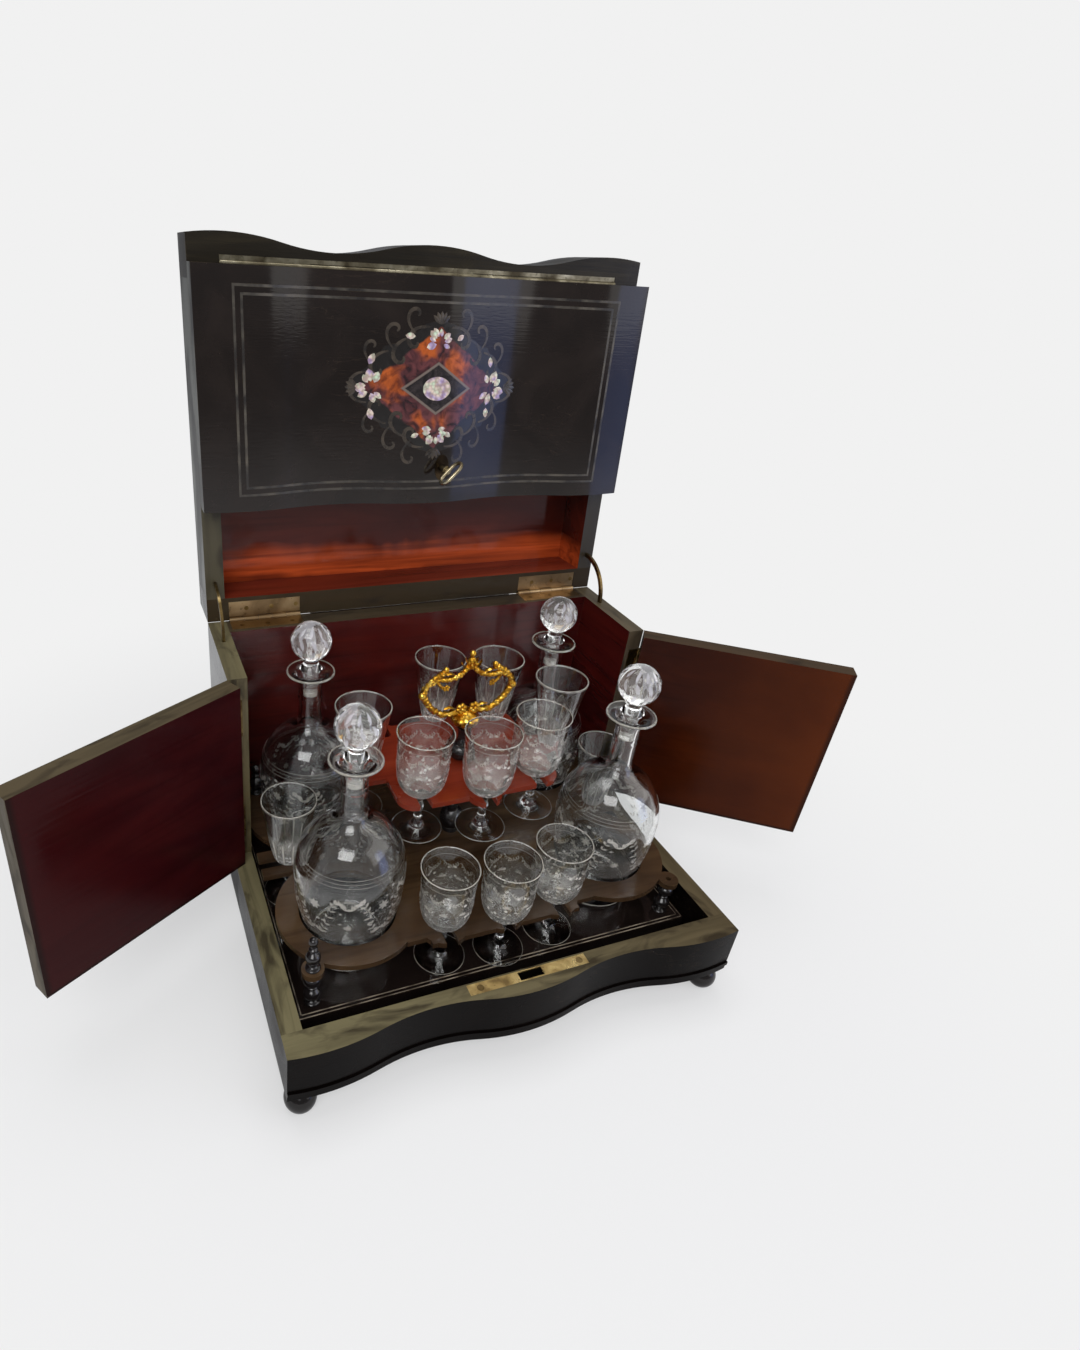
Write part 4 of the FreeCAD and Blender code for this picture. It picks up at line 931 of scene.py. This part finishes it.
def leaf_blade(root, tip, bow, width):
    """A ribbed leaf from root to tip, bowed out by the vector bow."""
    along = tip - root
    side = along.cross(bow).normalized()
    verts = []
    rows = 6
    for k in range(rows + 1):
        t = k / rows
        centre = root + along * t + bow * math.sin(math.pi * t)
        half = width * math.sin(math.pi * (0.12 + 0.86 * t)) ** 0.8 * (1 + 0.12 * (k % 2))
        for s in (-1, 0, 1):
            verts.append(centre + side * s * half + bow.normalized() * (0.35 * width * (s == 0)))
    faces = quads(rows + 1, 3)
    back = [tuple(reversed(face)) for face in faces]
    return verts, faces + [tuple(i + len(verts) for i in face) for face in back]


def doubled(group):
    """A leaf blade with a copy of its points shifted just behind the first; no faces use the copy."""
    verts, faces = group
    shift = Vector((0, 0.35, 0))
    return [Vector(v) for v in verts] + [Vector(v) + shift for v in verts], faces


# Cup as (radius, height), arms as (points, thickness, steps), flowers as (middle, radius, petals),
# knobs as (middle, radius) and leaves as (root, tip, bow, width), all on the right-hand side
handle_cup = [(0, 0), (4.2, 0.0), (5.0, 1.2), (4.4, 2.4), (6.0, 4.0), (9.6, 6.6), (10.6, 8.8),
              (8.6, 11.4), (5.2, 13.6), (3.6, 15.2), (0, 15.6)]
handle_arms = [
    ([(1, 0, 15.5), (8, -1, 14.8), (20, 0, 14.2), (29, 0, 20), (35, 0, 28), (37.5, 0, 34)], 2.6, 7),
    ([(20, 0, 13.8), (22.6, -0.6, 12.6)], 2.4, 3),
    ([(37.5, 0, 33), (36, 0, 40), (31, 0, 46.5), (25, 0, 50.5), (21.5, 0, 53)], 2.3, 7),
    ([(33, 0, 43), (26, 0, 46), (18, 0, 45.4), (10, 0, 47.5), (4.5, 0, 52), (1.5, 0, 56)], 2.2, 7),
    ([(27, 0, 44.5), (24, 0, 40), (20.5, 0, 38), (18.6, 0, 39.6)], 1.4, 5)]
handle_flowers = [((5.6, -3.2, 19.2), 4.7, 6), ((19.6, -1.2, 38.6), 3.0, 5)]
handle_knobs = [((38.5, 0, 33.5), 3.4), ((20.8, 0, 54.4), 2.5), ((21.4, 0, 51.2), 1.9)]
handle_leaves = [((35, 0, 30), (38.0, 0, 42), (2.6, 0, 0.6), 1.9),
                 ((9, 0, 17), (19, 0, 18.2), (0, -0.4, 2.2), 1.7),
                 ((12, 0, 48), (21, 0, 49.5), (0, -0.4, 2.0), 1.6),
                 ((1, 0, 55), (8.4, 0, 60.0), (1.8, 0, -1.8), 2.0)]


def leaf_ring(count, start, root, tip, bow, width):
    """Leaves round the handle's middle, each given by (out, up) of its root, tip and bow."""
    groups = []
    for k in range(count):
        a = math.tau * (k + start) / count
        way = Vector((math.cos(a), math.sin(a), 0))
        ends = [way * out + Vector((0, 0, up)) for out, up in (root, tip, bow)]
        groups.append(doubled(leaf_blade(*ends, width)))
    return groups


def gilt_handle():
    rng = random.Random(8)
    cup_r = max(r for r, h in handle_cup)
    groups = [lathe(smooth_line(handle_cup, 3), 48, lambda a, r, h: r * (
        1 + (r / cup_r) * (0.13 * abs(math.cos(4 * a)) - 0.05)))]
    groups += leaf_ring(8, 0.5, (4.4, 2.4), (11.0, 9.6), (1.8, -1.8), 2.7)
    for s in (-1, 1):
        def at(point):
            return Vector((s * point[0], point[1], point[2]))
        for centre, r, petals in handle_flowers:
            groups += flower(at(centre), r, petals)
        for points, thick, steps in handle_arms:
            groups += branch([at(p) for p in points], thick, rng, steps)
        for centre, r in handle_knobs:
            groups.append(ball_mesh(at(centre), r))
        for root, tip, bow, width in handle_leaves:
            groups.append(doubled(leaf_blade(at(root), at(tip), at(bow), width)))
    groups += branch([(0, 0, 53), (0, 0, 59), (0, 0, 63)], 2.6, rng, 5)
    groups.append(ball_mesh((0, 0, 60), 3.4))
    groups.append(ball_mesh((0, 0, 66.2), 2.6))
    groups += leaf_ring(5, 0, (1.5, 56), (4.6, 61.5), (1.4, 0), 1.6)
    return gathered(groups)


def make_handle():
    gold = metal("gilt", rgb(150, 96, 22), rgb(206, 154, 48), rgb(238, 200, 96), 260, (0.2, 0.36))
    dress("gilt_handle", gold)
    post = middle("handle_post")
    foot = Vector((post.x, post.y, high("handle_post").z))
    verts, faces = gilt_handle()
    tall = high("gilt_handle").z - low("gilt_handle").z
    scale = min(mm, tall / max(v.z for v in verts))
    piece = mesh_piece("gilt_branches", [v * scale + foot for v in verts], faces, gold, "rack")
    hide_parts("gilt_handle")


# Glassware

def glass_material():
    p = Paint("clear glass", Transmission_Weight=1.0, IOR=1.5, Roughness=0.0,
              Base_Color=(0.965, 0.975, 0.97, 1))
    p.bump(p.noise(60, 2), 0.04, 0.3 * mm)
    return p.material


def clear_white(name, alpha, rough=0.4, tint=(0.86, 0.85, 0.8)):
    """Whitish glass for ground glass, cut edges and engraving, and for painted highlights: the pale
    rings laid on rims and feet.
    """
    p = Paint(name, Roughness=rough, Transmission_Weight=0.25, Specular_IOR_Level=0.9,
              Base_Color=(*tint, 1))
    p.feed(p.shader.inputs["Alpha"], p.span(p.noise(130, 3), 0.35, 0.65, alpha * 0.7, alpha))
    return p.material


def frost_material(name, count, rows, strength, flutes=0, haze=(0.16, 0.4)):
    """A misty engraved skin: small leaves in rows by the UV, or upright flutes with pointed tops."""
    p = Paint(name, Roughness=0.5, Specular_IOR_Level=0.8, Base_Color=(0.86, 0.83, 0.76, 1))
    parts = p.add("ShaderNodeSeparateXYZ", Vector=p.place.outputs["UV"])
    across = parts.outputs[0]
    rise = parts.outputs[1]
    mist = p.noise(90, 4)
    fade = p.span(rise, 0.0, 1.0, 1.0, 0.25)
    veil = p.times(p.span(mist, 0.35, 0.7, *haze), fade)
    if flutes:
        wave = p.calc("ABSOLUTE", p.calc("SINE", p.times(across, math.pi * flutes)))
        top = p.calc("ADD", 0.7, p.times(wave, 0.24))
        below = p.calc("LESS_THAN", rise, top)
        line = p.times(p.span(wave, 0.5, 0.1, 0.0, 0.8), below)
        arch = p.span(p.calc("ABSOLUTE", p.calc("SUBTRACT", rise, top)), 0.0, 0.03, 0.4, 0.0)
        marks = p.calc("MAXIMUM", line, arch)
        veil = p.times(veil, below)
    else:
        grid = p.add("ShaderNodeCombineXYZ", X=p.times(across, count),
                     Y=p.times(rise, rows))
        cells = p.add("ShaderNodeTexVoronoi", Vector=grid.outputs[0], Scale=1.0, Randomness=0.8)
        leaf = p.span(cells.outputs["Distance"], 0.22, 0.38, 1.0, 0.0)
        some = p.span(p.noise(45, 2, seed=0.5), 0.42, 0.52)
        marks = p.times(leaf, some)
    p.feed(p.shader.inputs["Alpha"], p.times(p.calc("MAXIMUM", marks, veil), strength))
    return p.material


def radius_at(profile, height):
    """Outside radius of a bowl or body at a height, from its outer profile."""
    for (r0, h0), (r1, h1) in zip(profile, profile[1:]):
        if h0 <= height <= h1 and h1 > h0:
            return r0 + (r1 - r0) * (height - h0) / (h1 - h0)
    return profile[-1][0]


def skin(profile, bottom, top, out=0.15 * mm, segments=72, rows=16):
    """A thin layer over part of a turned surface, its seam at the back, with angle and height
    as UV."""
    verts = []
    uvs = []
    for row in range(rows + 1):
        h = bottom + (top - bottom) * row / rows
        r = radius_at(profile, h) + out
        for k in range(segments + 1):
            a = math.tau * k / segments + math.pi / 2
            verts.append(Vector((r * math.cos(a), r * math.sin(a), h)))
            uvs.append((k / segments, row / rows))
    return verts, quads(rows + 1, segments + 1), uvs


def leaf_on(profile, angle, height, tilt, length, width):
    """A pointed leaf laid on a turned surface, at a place and tilt."""
    outline = [(0, 0), (0.25, 0.38), (0.55, 0.5), (0.82, 0.3), (1, 0),
               (0.82, -0.3), (0.55, -0.5), (0.25, -0.38)]
    verts = []
    for u, v in outline:
        along = u * length
        across = v * width
        h = height + along * math.sin(tilt) + across * math.cos(tilt)
        r = radius_at(profile, h) + 0.2 * mm
        a = angle + (along * math.cos(tilt) - across * math.sin(tilt)) / max(r, 1 * mm)
        verts.append((r * math.cos(a), r * math.sin(a), h))
    return verts, [tuple(range(len(verts)))]


def stroke_on(profile, points, width):
    """A thin engraved line through (angle, height) points on a turned surface."""
    verts = []
    for a, h in points:
        for side in (-0.5, 0.5):
            r = radius_at(profile, h) + 0.18 * mm
            verts.append((r * math.cos(a), r * math.sin(a), h + side * width))
    return verts, quads(len(points), 2)


def band(profile, height, width, segments=64):
    points = [(math.tau * k / segments, height) for k in range(segments + 1)]
    return stroke_on(profile, points, width)


def in_metres(rows):
    """Points given in millimetres, as metres."""
    return [(r * mm, h * mm) for r, h in rows]


stem_top = 30.5 * mm
goblet_round = {"tall": 51 * mm, "rim": 20 * mm, "cuts": 10, "cut_share": 0.36, "shares": [
    (0.34, 0.035), (0.62, 0.1), (0.82, 0.24), (0.9, 0.45), (0.915, 0.7), (0.94, 0.88), (1.0, 1.0)]}
goblet_taper = {"tall": 56 * mm, "rim": 19.8 * mm, "cuts": 12, "cut_share": 0.52, "shares": [
    (0.34, 0.03), (0.5, 0.07), (0.62, 0.22), (0.74, 0.45), (0.87, 0.72), (1.0, 1.0)]}


def goblet_shapes(kind):
    """Outer profile of the bowl and the whole closed profile of a stemmed glass, foot at 0."""
    wall = 1.4 * mm
    tall, rim, shares = kind["tall"], kind["rim"], kind["shares"]
    bowl = smooth_line([(4.0 * mm, stem_top + 0.6 * mm)]
                       + [(rim * r, stem_top + tall * h) for r, h in shares])
    stem = smooth_line(in_metres([(3.0, 9), (2.7, 14), (3.1, 17.5), (3.9, 20), (3.1, 22.5), (2.8, 26),
                                  (3.2, 29.5), (4.0, 31.1)]), 4)
    foot = in_metres([(0, 0.5), (15, 0.2), (17.4, 0), (18, 0.6), (17.6, 1.4), (13, 2.2), (7, 3.6),
                      (4.2, 5.6), (3.0, 9)])
    inside = [(rim * r - wall, stem_top + tall * h) for r, h in shares[1:]]
    inside[0] = (inside[0][0] * 0.8, stem_top + tall * 0.12)
    inner = smooth_line([(0, stem_top + tall * 0.1),
                         (inside[0][0] * 0.6, stem_top + tall * 0.105)] + inside)
    lip = [(rim - wall * 0.45, stem_top + tall + 0.35 * mm)]
    return bowl, foot + stem[1:-1] + bowl + lip + inner[::-1]


def goblet_parts(kind):
    """Glass, engraved marks, painted highlight rings on rim and foot, and misty skin of one stemmed
    glass.
    """
    bowl, profile = goblet_shapes(kind)
    cuts = kind["cuts"]

    def at(share):
        return stem_top + kind["tall"] * share

    top_of_cuts = at(kind["cut_share"])

    def form(angle, r, h):
        if h < stem_top + 1 * mm or h > top_of_cuts or r < radius_at(bowl, h) - 0.3 * mm:
            return r
        depth = 0.05 * math.sin(math.pi * (h - stem_top) / (top_of_cuts - stem_top)) ** 0.5
        return r * (1 - depth * abs(math.sin(cuts * angle / 2)) ** 3)

    rng = random.Random(3)
    if kind is goblet_round:
        marks = [band(bowl, at(0.9), 0.3 * mm)]
        swags = 9
        for k in range(swags):
            start = math.tau * k / swags
            line = [(start + s / 8 * math.tau / swags, at(0.8 - 0.1 * math.sin(math.pi * s / 8)))
                    for s in range(9)]
            marks.append(stroke_on(bowl, line, 0.3 * mm))
            for a, h in line[1:-1]:
                for side in (-1, 1):
                    marks.append(leaf_on(bowl, a, h, side * rng.uniform(0.8, 1.3), 2.2 * mm, 1.0 * mm))
            for s in range(5):
                tilt = math.pi * (0.1 + 0.2 * s)
                marks.append(leaf_on(bowl, start, at(0.5), tilt, 3.2 * mm, 1.1 * mm))
        skirt = skin(bowl, at(0.05), at(0.72))
    else:
        marks = [band(bowl, at(0.985), 0.25 * mm)]
        skirt = skin(bowl, at(0.05), at(0.62))
    # Painted highlights: pale rings on the rim and on the foot's edge.
    edges = gathered([ring_tube(kind["rim"] - 0.5 * mm, at(1.0), 0.38 * mm),
                      ring_tube(17.7 * mm, 0.8 * mm, 0.22 * mm)])
    return lathe(profile, 72, form), gathered(marks), edges, skirt


def place_on(node, name, group, material, drop):
    """One piece of a glass or bottle, standing where its CAD node stands."""
    verts, faces = group[:2]
    uvs = group[2] if len(group) > 2 else None
    centre = middle(node)
    foot = Vector((centre.x, centre.y, low(node).z - drop))
    return mesh_piece(name + "_" + node, [Vector(v) + foot for v in verts], faces, material,
                      node + "_body", True, uvs)


# Bottle and stopper: outlines in millimetres from the axis and up from the bottle's foot

bottle_foot = [(0, 3), (12, 1.8), (26, 0), (28.5, 0.3)]
bottle_body = [(29.2, 1.2), (30.8, 16), (32.8, 31), (36.2, 50), (37.3, 70), (36.2, 81), (33, 90),
               (26.2, 101.5), (14.8, 109.5), (10.2, 114.2), (8.6, 120.5)]
bottle_neck = [(8.6, 120.5), (8.6, 133.5), (8.9, 134.8), (9.1, 136.2), (8.9, 137.8), (8.8, 139.2),
               (8.9, 148), (10.4, 152.2), (13.8, 155.3), (17.2, 156.2), (17.5, 157.2), (16.6, 158),
               (12.5, 157.2), (7.8, 154.5), (6, 151)]
bottle_inside = [(5.9, 151), (5.9, 121), (7.8, 113.5), (12, 107.8), (23.4, 99.3), (30, 88.5),
                 (33.2, 80), (34.3, 70), (33.2, 50), (29.8, 31), (27.5, 16), (25, 7.5), (12, 6.2),
                 (0, 8.5)]


ball_r = 14.5 * mm
ball_h = 182 * mm
plug_foot = 138.3 * mm
stopper_collar = [(0, 138.5), (4.4, 138.5), (4.9, 150), (5.6, 157.8), (7.8, 158.4), (8.3, 160),
                  (6.2, 162.5), (5.2, 165), (6.6, 168)]


def decanter_parts():
    """Glass, engraving, painted highlight rings on lip and foot, and misty skin of a bottle."""
    foot, body, neck, inside = [in_metres(rows) for rows in (
        bottle_foot, bottle_body, bottle_neck, bottle_inside)]
    body = smooth_line(body)
    profile = foot + body + smooth_line(neck, 4)[1:] + smooth_line(inside)
    # Painted highlights: pale rings on the lip and on the foot's edge.
    edges = gathered([ring_tube(16.9 * mm, 157.1 * mm, 0.6 * mm),
                      ring_tube(28.8 * mm, 1.2 * mm, 0.6 * mm)])
    return (lathe(profile, 96), decanter_marks(body), edges,
            skin(body, 34 * mm, 80 * mm, segments=96))


def decanter_marks(body):
    """Engraved sprays of small leaves round the body, and bands above them."""
    rng = random.Random(11)
    marks = [band(body, h * mm, width * mm) for h, width in ((88.5, 0.4), (86.2, 0.3), (83.8, 0.3))]
    sprays = 5
    for k in range(sprays):
        start = math.tau * k / sprays
        for sign in (-1, 1):
            line = []
            for s in range(15):
                t = s / 14
                line.append((start + sign * t * 0.58,
                             (44 + 31 * t - 8 * math.sin(2.4 * math.pi * t)) * mm))
            marks.append(stroke_on(body, line, 0.3 * mm))
            for a, h in line[1:]:
                for side in (-1, 1):
                    tilt = math.pi / 2 - sign * 0.7 + side * rng.uniform(0.6, 1.1)
                    marks.append(leaf_on(body, a, h, tilt, rng.uniform(3, 4.8) * mm, 1.6 * mm))
        for s in range(7):
            turn = math.tau * s / 7
            marks.append(leaf_on(body, start, 66 * mm, turn, 4.2 * mm, 1.8 * mm))
            marks.append(leaf_on(body, start + math.pi / sprays, 50 * mm, turn, 3 * mm, 1.3 * mm))
    return gathered(marks)


def stopper_line():
    """Outer profile of a stopper, from the foot of its plug."""
    profile = in_metres(stopper_collar)
    steps = 26
    first = -1.12
    for k in range(steps + 1):
        a = first + (math.pi / 2 - first) * k / steps
        profile.append((max(ball_r * math.cos(a), 0.0), ball_h + ball_r * math.sin(a)))
    profile[-1] = (0, ball_h + ball_r)
    return profile


def stopper_parts():
    """A cut ball on a waisted collar and a ground plug, its cuts, the plug's foot and the mist."""
    def form(angle, r, h):
        if h < ball_h - ball_r * 0.8:
            return r
        rise = (h - ball_h) / ball_r
        swirl = math.sin(6 * angle + 4 * rise) * math.sin(6 * angle - 4 * rise)
        return r * (0.965 + 0.035 * swirl * (1 - abs(rise)) ** 0.5)

    plug = lathe(in_metres([(0, 138.4), (5.2, 138.4), (5.3, 141.8), (0, 141.8)]), 32)
    mist_foot = ball_h - 12 * mm
    mist = skin([(r, h) for r, h in stopper_line() if h > mist_foot], mist_foot,
                ball_h + ball_r * 0.96, segments=48)
    return lathe(stopper_line(), 96, form), stopper_marks(), plug, mist


def stopper_marks():
    """Crescent cuts in three rows round the ball."""
    steps = 24
    ball = [(ball_r * math.cos(a), ball_h + ball_r * math.sin(a))
            for a in [-1.2 + 2.7 * k / steps for k in range(steps + 1)]]
    marks = []
    cuts = 10
    for k in range(cuts):
        for turn, up, tilt, length, width in ((0, -9, 1.2, 8.6, 3), (0.3, -1, 1.9, 8.4, 3),
                                              (0, 7.5, 1.4, 5.6, 2.2)):
            marks.append(leaf_on(ball, math.tau * k / cuts + turn, ball_h + up * mm, tilt,
                                 length * mm, width * mm))
    return gathered(marks)


def make_glassware():
    glass = glass_material()
    # Whitish material for the stopper plug's ground foot and for the painted highlight rings on rims
    # and feet.
    bright = clear_white("ground glass and painted rim highlights", 0.55, 0.2, (0.82, 0.77, 0.68))
    engraved = clear_white("engraving", 0.5, 0.4, (0.88, 0.84, 0.75))
    lilac = clear_white("stopper cuts", 0.55, 0.25, (0.86, 0.84, 0.92))
    leafy = frost_material("leafy mist", 26, 9, 0.66, 0, (0.26, 0.5))
    fluted = frost_material("fluted mist", 0, 0, 0.8, 12, (0.3, 0.6))
    bottle_mist = frost_material("bottle mist", 40, 12, 0.3)
    ball_mist = frost_material("ball mist", 18, 5, 0.36)
    names = ("clear", "engraving", "edges", "mist")
    front = list(zip(names, goblet_parts(goblet_round), (glass, engraved, bright, leafy)))
    other = list(zip(names, goblet_parts(goblet_taper), (glass, engraved, bright, fluted)))
    bottle = list(zip(names, decanter_parts(), (glass, engraved, bright, bottle_mist)))
    stopper = list(zip(("clear", "cuts", "plug", "mist"), stopper_parts(),
                       (glass, lilac, bright, ball_mist)))
    for node in sorted(nodes):
        drop = 0.0
        if node.startswith("glass_"):
            parts = front if "front" in node else other
        elif node.startswith("decanter_"):
            parts = bottle
        elif node.startswith("stopper_"):
            parts = stopper
            drop = plug_foot
        else:
            continue
        for name, group, material in parts:
            piece = place_on(node, name, group, material, drop)
            if name == "clear":
                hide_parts(node)


# Stage

def rays(tree):
    """1 for what the camera sees straight on or through glass."""
    path = tree.nodes.new("ShaderNodeLightPath")
    seen = tree.nodes.new("ShaderNodeMath")
    seen.operation = "MAXIMUM"
    tree.links.new(path.outputs["Is Camera Ray"], seen.inputs[0])
    tree.links.new(path.outputs["Is Transmission Ray"], seen.inputs[1])
    return seen.outputs[0]


def mixed(tree, amount, first, second, output):
    """Sends a mix of two shaders to the tree's output."""
    mixer = tree.nodes.new("ShaderNodeMixShader")
    for value, socket in zip((amount, first, second), mixer.inputs):
        tree.links.new(value, socket)
    tree.links.new(mixer.outputs[0], tree.nodes[output].inputs[0])


def make_world(paper):
    """Soft light for the object, and a pale background for the eye."""
    world = bpy.data.worlds.new("studio")
    bpy.context.scene.world = world
    world.use_nodes = True
    tree = world.node_tree
    soft = tree.nodes["Background"]
    soft.inputs["Color"].default_value = (0.92, 0.94, 1.0, 1)
    soft.inputs["Strength"].default_value = 0.3
    plain = tree.nodes.new("ShaderNodeBackground")
    plain.inputs["Color"].default_value = paper
    mixed(tree, rays(tree), soft.outputs[0], plain.outputs[0], "World Output")


def floor_material(paper):
    """Matt white that takes shadows near the object and melts into the background further out."""
    material = bpy.data.materials.new("floor")
    material.use_nodes = True
    tree = material.node_tree
    lit = tree.nodes["Principled BSDF"]
    lit.inputs["Base Color"].default_value = (0.78, 0.78, 0.78, 1)
    lit.inputs["Roughness"].default_value = 0.9
    lit.inputs["Specular IOR Level"].default_value = 0.1
    flat = tree.nodes.new("ShaderNodeEmission")
    flat.inputs["Color"].default_value = paper
    place = tree.nodes.new("ShaderNodeNewGeometry")
    far = tree.nodes.new("ShaderNodeVectorMath")
    far.operation = "LENGTH"
    tree.links.new(place.outputs["Position"], far.inputs[0])
    fade = tree.nodes.new("ShaderNodeMapRange")
    fade.interpolation_type = "SMOOTHSTEP"
    for name, value in (("From Min", 0.2), ("From Max", 0.6), ("To Min", 0.5)):
        fade.inputs[name].default_value = value
    tree.links.new(far.outputs["Value"], fade.inputs["Value"])
    amount = tree.nodes.new("ShaderNodeMath")
    amount.operation = "MULTIPLY"
    tree.links.new(rays(tree), amount.inputs[0])
    tree.links.new(fade.outputs[0], amount.inputs[1])
    mixed(tree, amount.outputs[0], lit.outputs[0], flat.outputs[0], "Material Output")
    return material


def make_stage():
    bpy.context.scene.view_settings.view_transform = "Standard"
    paper = (*rgb(241, 241, 241), 1)
    make_world(paper)
    reach = 40
    mesh_piece("floor", *flat_strip(-reach, reach, -reach, reach, 0), floor_material(paper),
                        None, False)


def area_light(name, place, target, size, power, colour=(1, 1, 1)):
    data = bpy.data.lights.new(name, "AREA")
    data.shape = "RECTANGLE"
    data.size = size[0]
    data.size_y = size[1]
    data.energy = power
    data.color = colour
    light = bpy.data.objects.new(name, data)
    bpy.context.scene.collection.objects.link(light)
    light.location = place
    way = Vector(target) - Vector(place)
    light.rotation_euler = way.to_track_quat("-Z", "Y").to_euler()


def make_lights():
    area_light("key", (-0.9, -1.3, 1.6), (0, 0, 0.15), (1.2, 1.2), 24)
    area_light("fill", (1.4, -0.9, 1.1), (0, 0, 0.15), (2.0, 1.6), 12, (1, 0.97, 0.92))
    area_light("top", (0, 0.3, 2.0), (0, 0, 0.1), (1.6, 1.0), 15)
    area_light("window", (1.12, -0.94, 0.45), (0.04, 0.12, 0.4), (0.5, 0.9), 1.8, (0.3, 0.44, 1.0))


def main():
    make_camera()
    make_stage()
    make_lights()
    dress_case()
    dress_lid()
    dress_panel()
    dress_doors()
    dress_metal()
    hinge_screws()
    dress_rack()
    make_handle()
    make_glassware()


main()
